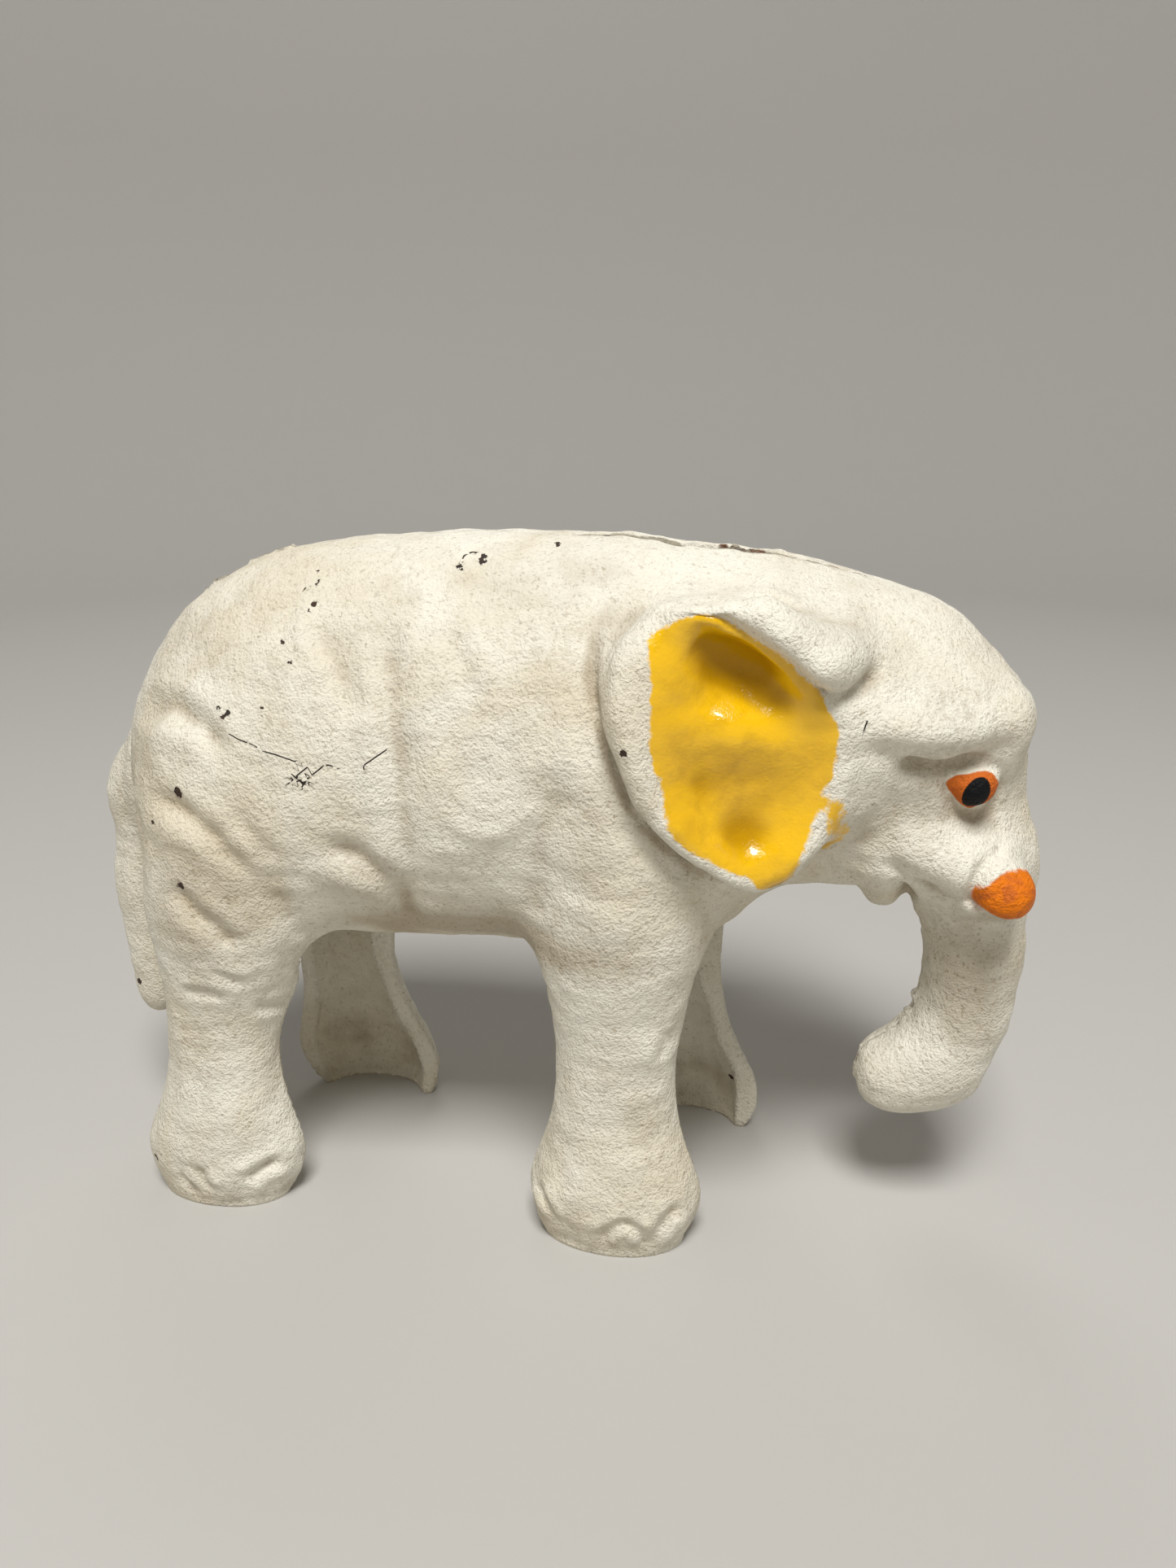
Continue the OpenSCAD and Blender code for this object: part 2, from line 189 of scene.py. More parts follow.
class Skin:
    """Surface of a casting as arrays in millimetres, for relaxing and sculpting."""

    def __init__(self, mesh: bpy.types.Mesh, side: Side) -> None:
        """Read a mesh.

        Args:
            mesh: mesh in metres, which the skin writes back to.
            side: side of the elephant that the mesh is on.
        """
        self.mesh = mesh
        self.side = side.value
        self.fold = np.array([1.0, self.side, 1.0])
        count = len(mesh.vertices)
        self.co = np.empty(count * 3)
        mesh.vertices.foreach_get("co", self.co)
        self.co = self.co.reshape(-1, 3) / MM
        self.links = np.empty(len(mesh.edges) * 2, np.int64)
        mesh.edges.foreach_get("vertices", self.links)
        self.links = self.links.reshape(-1, 2)
        self.outer = np.ones(count, bool)

    @property
    def side_y(self) -> Array:
        """Distance of each point from the middle plane, towards the skin's own side."""
        return self.co[:, 1] * self.side

    @property
    def unfolded(self) -> Array:
        """Places with Y counted from the middle plane, so both sides share one set of features."""
        return self.co * self.fold

    def side_view(self, leg: Leg) -> Array:
        """Places as (x, z), with the left side's stride taken out of a leg."""
        place = self.co[:, [0, 2]]
        if self.side > 0:
            foot, hip = leg.value
            place[:, 0] -= foot + (hip - foot) * np.clip(place[:, 1] / HIP_Z, 0.0, 1.0)
        return place

    def store(self) -> None:
        """Write the points back to the mesh."""
        self.mesh.vertices.foreach_set("co", (self.co * MM).ravel())
        self.mesh.update()

    def normals(self) -> Array:
        """Return the unit normals, with Y counted towards the skin's own side."""
        self.store()
        normal = np.empty(len(self.co) * 3)
        self.mesh.vertex_normals.foreach_get("vector", normal)
        return normal.reshape(-1, 3) * self.fold

    def mean(self, values: Array, use: tuple[Array, Array]) -> Array:
        """Average each point's neighbours.

        Args:
            values: one row per point.
            use: weight of each link for its first and for its second point.

        Returns:
            The averages, one row per point.
        """
        a, b = self.links.T
        count = len(self.co)
        weight = np.bincount(a, use[0], count) + np.bincount(b, use[1], count)
        total = np.stack([
            np.bincount(a, use[0] * column[b], count) + np.bincount(b, use[1] * column[a], count)
            for column in values.T
        ], axis=1)
        bare = weight == 0
        total[bare] = values[bare]
        weight[bare] = 1.0
        return total / weight[:, None]

    def flats(self, planes: list[tuple[int, Array]]) -> tuple[Array, tuple[Array, Array]]:
        """Find the points on flat faces and the links that keep those faces' edges crisp.

        Args:
            planes: for each plane, the axis across it and a mask of the points on it.

        Returns:
            Freedom of each point along X, Y and Z, and the weights for mean().
        """
        a, b = self.links.T
        free = np.ones_like(self.co)
        deep = np.zeros(len(self.co), bool)
        for axis, on in planes:
            free[on, axis] = 0.0
            off = np.bincount(a, ~on[b], len(on)) + np.bincount(b, ~on[a], len(on))
            deep |= on & (off == 0)
        use = (~(deep[b] & ~deep[a])).astype(float), (~(deep[a] & ~deep[b])).astype(float)
        return free, use

    def relax(self, rounds: int, strength: Array, planes: list[tuple[int, Array]]) -> None:
        """Smooth the skin, with flat faces kept flat.

        Args:
            rounds: number of passes.
            strength: share of the way to the neighbours' mean, one per point.
            planes: planes to keep, as flats() takes them.
        """
        free, use = self.flats(planes)
        for _ in range(rounds):
            step = self.mean(self.co, use) - self.co
            self.co += step * free * strength[:, None]

    def spread(self, values: Array, rounds: int) -> Array:
        """Blur values over the skin.

        Args:
            values: one per point.
            rounds: number of passes.

        Returns:
            The blurred values.
        """
        use = (np.ones(len(self.links)),) * 2
        column = values.reshape(len(values), -1)
        for _ in range(rounds):
            column = 0.5 * column + 0.5 * self.mean(column, use)
        return column.reshape(values.shape)

    def reached(self, seed: int, barrier: Array) -> Array:
        """Find the points that can be reached over the skin.

        Args:
            seed: point to start from.
            barrier: mask of the points that stop the spread.

        Returns:
            A mask of the points reached.
        """
        a, b = self.links.T
        open_link = ~barrier[a] & ~barrier[b]
        a, b = a[open_link], b[open_link]
        found = np.zeros(len(self.co), bool)
        found[seed] = True
        while True:
            fresh = np.concatenate([b[found[a] & ~found[b]], a[found[b] & ~found[a]]])
            if not len(fresh):
                return found
            found[fresh] = True

    def mark(self, name: Mark, values: Array) -> None:
        """Store one value per point for the finish.

        Args:
            name: name of the value.
            values: one per point.
        """
        layer = self.mesh.attributes.new(name.value, "FLOAT", "POINT")
        layer.data.foreach_set("value", values.astype(np.float32))


@dataclass(frozen=True, kw_only=True)
class Form(ABC):
    """Form worked into the elephant, drawn as seen from the side or placed in space.

    Attributes:
        leg: limb that it is on, for one seen from the side.
        reach: least and greatest distance of that from the middle plane.
    """

    leg: Leg = Leg.NONE
    reach: tuple[float, float] = (3.0, 40.0)

    @property
    @abstractmethod
    def flat(self) -> bool:
        """Whether it is drawn as seen from the side."""

    @abstractmethod
    def rise(self, place: Array) -> Array:
        """Return the move outwards at places given along the form's own axes, in millimetres."""

    def amount(self, skin: Skin, facing: Array) -> Array:
        """Work out the form on a skin.

        Args:
            skin: skin to work.
            facing: share of each point that faces sideways on the outside.

        Returns:
            Move outwards of each point in millimetres.
        """
        if not self.flat:
            return self.rise(skin.unfolded)
        (low, high), y = self.reach, skin.side_y
        share = smooth_step(low - 1.0, low + 1.0, y) * (y < high) * facing
        return self.rise(skin.side_view(self.leg)) * share


@dataclass(frozen=True)
class Crease(Form):
    """Groove or ridge along a curve.

    Attributes:
        line: corners as (x, z) seen from the side, or as (x, y, z), in millimetres.
        width: half width of the groove in millimetres.
        depth: depth in millimetres, negative for a ridge.
        lip: rise of the skin beside the groove, as a share of the depth.
        closed: whether the curve runs back to its start.
    """

    line: tuple[tuple[float, ...], ...]
    width: float
    depth: float
    lip: float = 0.0
    closed: bool = False

    @property
    def flat(self) -> bool:
        """Whether the curve is drawn as seen from the side."""
        return len(self.line[0]) == 2

    def rise(self, place: Array) -> Array:
        """Return the move outwards at each place."""
        curve = smooth_line(np.array(self.line), self.closed)
        spare = 4.0 * self.width
        use = ((place > curve.min(axis=0) - spare) & (place < curve.max(axis=0) + spare)).all(axis=1)
        far, share, _ = line_place(place[use], curve)
        form = np.exp(-(far / self.width) ** 2)
        form -= self.lip * np.exp(-((far - 2.0 * self.width) / self.width) ** 2)
        if not self.closed:
            form *= smooth_step(0.0, END_FADE, share) * smooth_step(0.0, END_FADE, 1.0 - share)
        out = np.zeros(len(place))
        out[use] = -self.depth * form
        return out


@dataclass(frozen=True)
class Swell(Form):
    """Rounded rise or hollow.

    Attributes:
        centre: middle as (x, z) seen from the side, or as (x, y, z), in millimetres.
        size: half sizes in millimetres, along the same axes.
        height: rise in millimetres, negative for a hollow.
        turn: turn of the length from level, in degrees, for one seen from the side.
    """

    centre: tuple[float, ...]
    size: tuple[float, ...]
    height: float
    turn: float = 0.0

    @property
    def flat(self) -> bool:
        """Whether the rise is drawn as seen from the side."""
        return len(self.centre) == 2

    def rise(self, place: Array) -> Array:
        """Return the move outwards at each place."""
        off = place - np.array(self.centre)
        if self.flat:
            c, s = math.cos(math.radians(self.turn)), math.sin(math.radians(self.turn))
            off = off @ np.array([[c, -s], [s, c]])
        return self.height * np.exp(-((off / np.array(self.size)) ** 2).sum(axis=1))


class NodeKit:
    """Short calls that add and join the nodes of one tree."""

    def __init__(self, tree: bpy.types.NodeTree) -> None:
        """Start with an empty tree.

        Args:
            tree: tree to fill.
        """
        self.tree = tree
        tree.nodes.clear()

    def node(self, kind: str, inputs: dict | None = None, **settings: object) -> bpy.types.Node:
        """Add a node.

        Args:
            kind: type name of the node.
            inputs: value or source of each input, by name or place.
            settings: properties to set before the inputs.

        Returns:
            The new node.
        """
        made = self.tree.nodes.new(kind)
        for name, value in settings.items():
            setattr(made, name, value)
        for name, value in (inputs or {}).items():
            self.put(made.inputs[name], value)
        return made

    def put(self, target: Socket, value: object) -> None:
        """Set an input to a value, or join it to a source."""
        if isinstance(value, bpy.types.NodeSocket):
            self.tree.links.new(value, target)
        elif isinstance(value, tuple) and len(value) == 3 and target.type == "RGBA":
            target.default_value = (*value, 1.0)
        else:
            target.default_value = value

    def math(self, operation: str, a: object, b: object = 0.0) -> Socket:
        """Add a Math node and return its output."""
        return self.node("ShaderNodeMath", {0: a, 1: b}, operation=operation).outputs[0]

    def times(self, a: object, b: object) -> Socket:
        """Multiply two values."""
        return self.math("MULTIPLY", a, b)

    def plus(self, a: object, b: object) -> Socket:
        """Add two values."""
        return self.math("ADD", a, b)

    def either(self, a: object, b: object) -> Socket:
        """Return the greater of two values."""
        return self.math("MAXIMUM", a, b)

    def ramp(self, value: Socket, low: object, high: object, to: tuple[float, float] = (0.0, 1.0)) -> Socket:
        """Map a stretch of values to another with an ease at both ends."""
        return self.node(
            "ShaderNodeMapRange",
            {"Value": value, "From Min": low, "From Max": high, "To Min": to[0], "To Max": to[1]},
            interpolation_type="SMOOTHSTEP",
        ).outputs[0]

    def blend(self, data_type: str, label: str, values: tuple[object, object, object]) -> Socket:
        """Add a Mix node.

        Args:
            data_type: kind of the values that it mixes.
            label: name of that kind in the node's sockets.
            values: factor and the two values.

        Returns:
            The result.
        """
        made = self.node("ShaderNodeMix", data_type=data_type)
        sockets = dict(zip(("Factor_Float", f"A_{label}", f"B_{label}"), values))
        for socket in made.inputs:
            if socket.identifier in sockets:
                self.put(socket, sockets[socket.identifier])
        return next(s for s in made.outputs if s.identifier == f"Result_{label}")

    def mix(self, factor: object, a: object, b: object) -> Socket:
        """Mix two colours and return the result."""
        return self.blend("RGBA", "Color", (factor, a, b))

    def lerp(self, factor: object, a: object, b: object) -> Socket:
        """Mix two numbers and return the result."""
        return self.blend("FLOAT", "Float", (factor, a, b))

    def noise(self, vector: Socket, scale: object, detail: float = 3.0, rough: float = 0.55,
              warp: float = 0.0) -> Socket:
        """Add a Noise texture and return its value."""
        return self.node("ShaderNodeTexNoise", {
            "Vector": vector, "Scale": scale, "Detail": detail, "Roughness": rough, "Distortion": warp,
        }).outputs[0]

    def group(self, tree: bpy.types.NodeTree, inputs: dict) -> bpy.types.Node:
        """Place a shared group with its own values."""
        return self.node("ShaderNodeGroup", inputs, node_tree=tree)

    def mark(self, name: Mark) -> Socket:
        """Read a value that the skin carries."""
        return self.node("ShaderNodeAttribute", attribute_name=name.value).outputs["Fac"]

    def close(self, height: Socket, relief: tuple[float, float], inputs: dict) -> None:
        """End a material with its bump and its shader.

        Args:
            height: height of the bump.
            relief: strength and distance of the bump.
            inputs: value or source of the shader's other inputs.
        """
        strength, depth = relief
        bump = self.node("ShaderNodeBump", {"Strength": strength, "Distance": depth, "Height": height})
        shader = self.node("ShaderNodeBsdfPrincipled", inputs | {"Normal": bump.outputs["Normal"]})
        self.node("ShaderNodeOutputMaterial", {"Surface": shader.outputs["BSDF"]})


def new_finish(name: str) -> tuple[bpy.types.Material, NodeKit, Socket]:
    made = bpy.data.materials.new(name)
    made.use_nodes = True
    kit = NodeKit(made.node_tree)
    return made, kit, kit.node("ShaderNodeTexCoord").outputs["Object"]


def new_group(name: str, inputs: dict[str, float], output: str) -> tuple[NodeKit, dict[str, Socket], Socket]:
    """Start a shared node group that turns places and numbers into one value.

    Args:
        name: name of the group.
        inputs: default of each number that it takes.
        output: name of its value.
    """
    tree = bpy.data.node_groups.new(name, "ShaderNodeTree")
    tree.interface.new_socket("Vector", in_out="INPUT", socket_type="NodeSocketVector")
    for label, value in inputs.items():
        tree.interface.new_socket(label, in_out="INPUT", socket_type="NodeSocketFloat").default_value = value
    tree.interface.new_socket(output, in_out="OUTPUT", socket_type="NodeSocketFloat")
    kit = NodeKit(tree)
    sources = kit.node("NodeGroupInput").outputs
    by_name = {label: sources[label] for label in ("Vector", *inputs)}
    return kit, by_name, kit.node("NodeGroupOutput").inputs[output]


class SharedEffects:
    """Node groups that more than one finish uses."""

    def __init__(self) -> None:
        """Build each group once."""
        self.grain = self.make_grain()
        self.blotch = self.make_blotch()

    def make_grain(self) -> bpy.types.NodeTree:
        """Return the sandy grain of a casting: a height from coarse and fine lumps."""
        values = {"Coarse": 1150.0, "Fine": 2500.0, "Share": 0.5}
        kit, source, height = new_group("sand_grain", values, "Height")
        coarse = kit.noise(source["Vector"], source["Coarse"], 2.0, 0.5)
        fine = kit.noise(source["Vector"], source["Fine"], 2.0, 0.6)
        kit.put(height, kit.lerp(source["Share"], coarse, fine))
        return kit.tree

    def make_blotch(self) -> bpy.types.NodeTree:
        """Return uneven patches: a mask that rises where a warped noise passes a level."""
        values = {"Scale": 60.0, "Level": 0.5, "Soft": 0.1}
        kit, source, mask = new_group("uneven_patches", values, "Mask")
        value = kit.noise(source["Vector"], source["Scale"], 5.0, 0.6, 0.4)
        low = kit.math("SUBTRACT", source["Level"], source["Soft"])
        kit.put(mask, kit.ramp(value, low, kit.plus(source["Level"], source["Soft"])))
        return kit.tree


@dataclass(frozen=True)
class PaintedIron:
    """Aged paint on sand-cast iron, with the coloured ear, tusk and eye, and painted shade in its creases,
    pores and lower parts.
    """

    white: Colour = (0.78, 0.745, 0.64)
    cream: Colour = (0.67, 0.60, 0.46)
    # Brown of dirt and stains, also used as painted shade in creases, pores and low parts
    grime_and_shade: Colour = (0.30, 0.225, 0.13)
    yellow: Colour = (0.80, 0.46, 0.003)
    ochre: Colour = (0.36, 0.175, 0.001)
    orange: Colour = (0.76, 0.185, 0.003)
    ring: Colour = (0.55, 0.125, 0.014)
    pupil: Colour = (0.003, 0.003, 0.004)
    worn: Colour = (0.36, 0.32, 0.24)
    iron: Colour = (0.035, 0.028, 0.024)
    rust: Colour = (0.16, 0.065, 0.028)

    def material(self, effects: SharedEffects) -> bpy.types.Material:
        """Build the finish.

        Args:
            effects: shared node groups.

        Returns:
            The material of both half shells.
        """
        made, kit, place = new_finish("painted_iron")

        def patch(scale: float, level: float, soft: float) -> Socket:
            """Return a mask of uneven patches."""
            values = {"Vector": place, "Scale": scale, "Level": level, "Soft": soft}
            return kit.group(effects.blotch, values).outputs["Mask"]

        def about_zero(noise: Socket, size: float) -> Socket:
            """Return a noise moved to swing about zero at a given size."""
            return kit.times(kit.math("SUBTRACT", noise, 0.5), size)

        ragged = about_zero(kit.noise(place, 420.0, 4.0, 0.65), 3.0)

        def strayed(mark: Mark, wander: float) -> Socket:
            """Return a value of the skin with its edge made ragged."""
            return kit.plus(kit.mark(mark), kit.times(ragged, wander))

        def painted(mark: Mark, wander: float, soft: float) -> Socket:
            """Return the mask of a coloured area with a brushed edge."""
            return kit.ramp(strayed(mark, wander), -soft, soft)

        ear = painted(Mark.EAR, 0.75, 0.28)
        tusk = painted(Mark.TUSK, 0.35, 0.2)
        ring = painted(Mark.EYE, 0.2, 0.12)
        pupil = painted(Mark.PUPIL, 0.08, 0.08)
        cavity = kit.mark(Mark.CAVITY)
        height = kit.group(effects.grain, {"Vector": place}).outputs["Height"]

        # White paint: yellowed patches, specks, stains, dirt and painted shade in low places, soil and
        # painted shade on the lower parts, and darker pores that are partly painted shade
        aged = kit.mix(patch(38.0, 0.55, 0.16), self.white, self.cream)
        stain = kit.times(patch(85.0, 0.60, 0.12), kit.ramp(kit.noise(place, 900.0), 0.35, 0.65))
        # Darkening in creases and low places: partly dirt, partly painted shade where contact shadow falls
        dirt_and_shade = kit.times(kit.ramp(cavity, 0.08, 0.8), kit.ramp(kit.noise(place, 240.0), 0.2, 0.6))
        # Soil blobs: partly dirt, partly painted shade on the belly's underside, lower flank, thigh, cheek
        # and soles
        soil = kit.plus(kit.mark(Mark.SOIL), about_zero(kit.noise(place, 150.0), 0.7))
        soil = kit.ramp(soil, 0.05, 0.85)
        # Darker low points of the sand grain: partly dirt in the pores, partly painted shade that shows the
        # grain's relief
        pores_and_shade = kit.ramp(height, 0.34, 0.46, (1.0, 0.0))
        for mask, share in (
            (patch(1100.0, 0.66, 0.04), 0.5), (stain, 0.3), (dirt_and_shade, 0.6), (soil, 0.55),
            (pores_and_shade, kit.lerp(soil, 0.3, 0.65)),
        ):
            aged = kit.mix(kit.times(mask, share), aged, self.grime_and_shade)

        # Colours of the ear, the tusk and the eye; the ear's yellow turns ochre in random patches and, as
        # painted shade, in its hollows
        hollow = kit.ramp(cavity, 0.08, 0.9)
        gold = self.yellow
        for mask, share in (
            (patch(210.0, 0.60, 0.12), 0.28), (patch(90.0, 0.56, 0.12), 0.16), (hollow, 0.75),
        ):
            gold = kit.mix(kit.times(mask, share), gold, self.ochre)
        colour = kit.mix(ear, aged, gold)
        colour = kit.mix(tusk, colour, kit.mix(patch(380.0, 0.54, 0.12), self.orange, self.ring))
        colour = kit.mix(ring, colour, self.ring)
        colour = kit.mix(pupil, colour, self.pupil)

        # Iron where the paint is rubbed, chipped or cracked, and inside the chamber
        metal = kit.mix(patch(220.0, 0.5, 0.12), self.iron, self.rust)
        worn = kit.ramp(strayed(Mark.WORN, 0.35), 0.3, 0.6)
        colour = kit.mix(worn, colour, kit.mix(patch(300.0, 0.57, 0.05), self.worn, metal))
        chip = kit.plus(kit.mark(Mark.CHIP), about_zero(kit.noise(place, 1300.0), 1.5))
        chip = kit.ramp(chip, -0.06, 0.06)
        inside = kit.ramp(strayed(Mark.CHAMBER, 0.2), 0.7, 0.95)
        across = kit.math("ABSOLUTE", strayed(Mark.CRACK, 0.1))
        crack = kit.times(kit.ramp(across, 0.04, 0.12, (1.0, 0.0)), kit.mark(Mark.CRACKED))
        crack = kit.times(crack, kit.ramp(kit.noise(place, 700.0, 2.0), 0.40, 0.46))
        bare = kit.either(kit.either(chip, inside), crack)
        colour = kit.mix(bare, colour, metal)
        colour = kit.mix(kit.either(kit.times(chip, 0.8), crack), colour, self.iron)

        rough = kit.ramp(kit.noise(place, 300.0), 0.3, 0.7, (0.52, 0.72))
        for mask, level in ((ear, 0.16), (tusk, 0.5), (kit.either(ring, pupil), 0.62), (bare, 0.75)):
            rough = kit.lerp(mask, rough, level)
        height = kit.lerp(kit.times(ear, 0.8), height, 0.5)
        height = kit.math("SUBTRACT", height, kit.times(kit.either(chip, crack), 0.8))
        kit.close(height, (1.0, 0.00066), {
            "Base Color": colour, "Roughness": rough, "Specular IOR Level": 0.18,
            "Coat Weight": kit.times(ear, kit.lerp(hollow, 1.0, 0.0)), "Coat Roughness": 0.06,
        })
        return made


@dataclass(frozen=True)
class WornSteel:
    """Dull steel of the joining screw, with rust in patches."""

    steel: Colour = (0.30, 0.285, 0.26)
    rust: Colour = (0.13, 0.055, 0.025)

    def material(self, effects: SharedEffects) -> bpy.types.Material:
        """Build the finish.

        Args:
            effects: shared node groups.

        Returns:
            The material of the screw.
        """
        made, kit, place = new_finish("worn_steel")
        values = {"Vector": place, "Scale": 420.0, "Level": 0.56, "Soft": 0.08}
        rusty = kit.group(effects.blotch, values).outputs["Mask"]
        height = kit.group(effects.grain, {"Vector": place}).outputs["Height"]
        kit.close(height, (0.3, 0.0001), {
            "Base Color": kit.mix(rusty, self.steel, self.rust),
            "Metallic": kit.lerp(rusty, 1.0, 0.15),
            "Roughness": kit.lerp(rusty, 0.38, 0.8),
        })
        return made


def linked(name: str, mesh: bpy.types.Mesh) -> bpy.types.Object:
    """Put a mesh in the scene as an object at the origin."""
    made = bpy.data.objects.new(name, mesh)
    bpy.context.scene.collection.objects.link(made)
    return made


def applied(source: bpy.types.Object) -> bpy.types.Mesh:
    """Return an object's mesh with its modifiers applied, and remove the object."""
    graph = bpy.context.evaluated_depsgraph_get()
    mesh = bpy.data.meshes.new_from_object(source.evaluated_get(graph))
    old = source.data
    bpy.data.objects.remove(source)
    bpy.data.meshes.remove(old)
    return mesh


def finished(name: str, mesh: bpy.types.Mesh, finish: bpy.types.Material) -> bpy.types.Object:
    """Put a mesh in the scene as a smooth piece with one material."""
    mesh.materials.clear()
    mesh.materials.append(finish)
    mesh.shade_smooth()
    LOG.info("%s: %d faces", name, len(mesh.polygons))
    return linked(name, mesh)


def to_mesh(name: str, bm: bmesh.types.BMesh) -> bpy.types.Mesh:
    """Return a new mesh with the faces of a bmesh, and free the bmesh."""
    mesh = bpy.data.meshes.new(name)
    bm.to_mesh(mesh)
    bm.free()
    return mesh


def spun(name: str, line: list[Place], centre: Place, axis: Place, steps: int) -> bpy.types.Mesh:
    """Spin a line round an axis.

    Args:
        name: name of the mesh.
        line: corners of the line in metres.
        centre: place on the axis in metres.
        axis: direction of the axis.
        steps: number of faces round it.

    Returns:
        The mesh.
    """
    bm = bmesh.new()
    verts = [bm.verts.new(corner) for corner in line]
    edges = [bm.edges.new(pair) for pair in zip(verts[:-1], verts[1:])]
    bmesh.ops.spin(
        bm, geom=verts + edges, cent=centre, axis=axis, angle=2.0 * math.pi, steps=steps,
        use_merge=True, use_duplicate=False,
    )
    bmesh.ops.remove_doubles(bm, verts=bm.verts, dist=WELD)
    bmesh.ops.recalc_face_normals(bm, faces=bm.faces)
    return to_mesh(name, bm)


@dataclass
class HalfShell:
    """One cast half of the elephant, in millimetres.

    Attributes:
        node: name of the half's solid, and of the body that it rides on.
        side: side of the elephant.
        voxel: cell size of the sculpted skin.
        seam: distance of the joint face from the middle plane.
        rim: distance of the legs' open rims from the middle plane.
        rim_top: height up to which the rims are flat.
        screw: place of the joining screw as (x, z).
        boss: radius round the screw that keeps its machined form.
        boss_end: distance of the blind boss's end from the middle plane.
        pins: places of the locating pins as (x, z).
        pad: radius round a pin that keeps its machined form.
        pad_end: distance from the middle plane up to which it does.
        slot: rear end, front end, half width and least height of the coin slot's mouth.
        lips: the same with the slot's lips.
        near: distance within which a point lies on a flat face.
        thinning: share of the chamber's cells that are merged.
    """

    node: str
    side: Side
    voxel: float = 0.63
    seam: float = 0.1
    rim: float = 15.5
    rim_top: float = 43.0
    screw: tuple[float, float] = (-2.0, 79.5)
    boss: float = 7.2
    boss_end: float = 22.5
    pins: tuple[tuple[float, float], ...] = ((-60.0, 70.5), (62.0, 83.0))
    pad: float = 5.2
    pad_end: float = 6.0
    slot: tuple[float, float, float, float] = (2.0, 46.0, 2.8, 90.0)
    lips: tuple[float, float, float, float] = (0.0, 48.0, 3.2, 103.0)
    near: float = 0.06
    thinning: float = 0.9

    def build(self, finish: bpy.types.Material) -> bpy.types.Object:
        """Make the half, dress it and hand it to its body.

        Args:
            finish: material of the casting.

        Returns:
            The finished piece.
        """
        rough = Skin(self.fine_mesh(), self.side)
        rough.outer = self.outside(rough)
        self.settle(rough)
        self.sculpt(rough)
        rough.store()
        skin = Skin(self.thinned(rough), self.side)
        skin.outer = self.outside(skin)
        self.dress(skin)
        piece = finished(f"{self.node}_casting", skin.mesh, finish)
        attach(piece, self.node)
        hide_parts(self.node)
        return piece

    def fine_mesh(self) -> bpy.types.Mesh:
        """Return the solid's own skin, remade in even cells that are fine enough to sculpt."""
        bm = bmesh.new()
        bm.from_mesh(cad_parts[self.node].data)
        bmesh.ops.remove_doubles(bm, verts=bm.verts, dist=WELD)
        rough = linked(self.node + "_rough", to_mesh(self.node + "_skin", bm))
        remesh = rough.modifiers.new("even_cells", "REMESH")
        remesh.mode = "VOXEL"
        remesh.voxel_size = self.voxel * MM
        return applied(rough)

    def machined(self, skin: Skin) -> Array:
        """Return a mask of the boss and pads, which keep their machined form."""
        place = skin.co[:, [0, 2]]
        mask = distance(place, self.screw) < self.boss
        if self.side is Side.RIGHT:
            mask &= skin.side_y < self.boss_end
        for pin in self.pins:
            mask |= (distance(place, pin) < self.pad) & (skin.side_y < self.pad_end)
        return mask

    def planes(self, skin: Skin) -> list[tuple[int, Array]]:
        """Return the joint face, the soles and the rims as flat faces."""
        z = skin.co[:, 2]
        return [
            (1, np.abs(skin.side_y - self.seam) < self.near),
            (2, np.abs(z) < self.near),
            (1, (np.abs(skin.side_y - self.rim) < self.near) & (z < self.rim_top)),
        ]

    def settle(self, skin: Skin) -> None:
        """Smooth the facets away, with the joint, soles, rims and machined places kept."""
        fixed = self.machined(skin)
        loose = np.where(fixed, 0.0, skin.spread(np.where(fixed, 0.0, 0.5), 3))
        planes = self.planes(skin)
        x, _, z = skin.co.T
        face = smooth_step(*FACE_X, x) * smooth_step(*FACE_Z, z)
        tail = smooth_step(*TAIL_X, x) * smooth_step(*TAIL_Y, skin.side_y)
        skin.relax(ALL_ROUNDS, loose, planes)
        skin.relax(BODY_ROUNDS, loose * (1.0 - face), planes)
        low = smooth_step(*LOW_Z, z) * (x < TRUNK_X)
        skin.relax(LOW_ROUNDS, loose * np.maximum(tail, low), planes)
        for _ in range(TAIL_ROUNDS):
            for push in TAIL_PUSH:
                skin.relax(1, push * loose * tail, planes)
        flat = np.any([on for _, on in planes], axis=0) | fixed
        clear = 1.0 - smooth_step(0.0, 0.05, skin.spread(flat.astype(float), 10))
        lift = skin.co - skin.spread(skin.co, LIFT_ROUNDS)
        skin.co += FACE_LIFT * lift * (clear * face * skin.outer)[:, None]

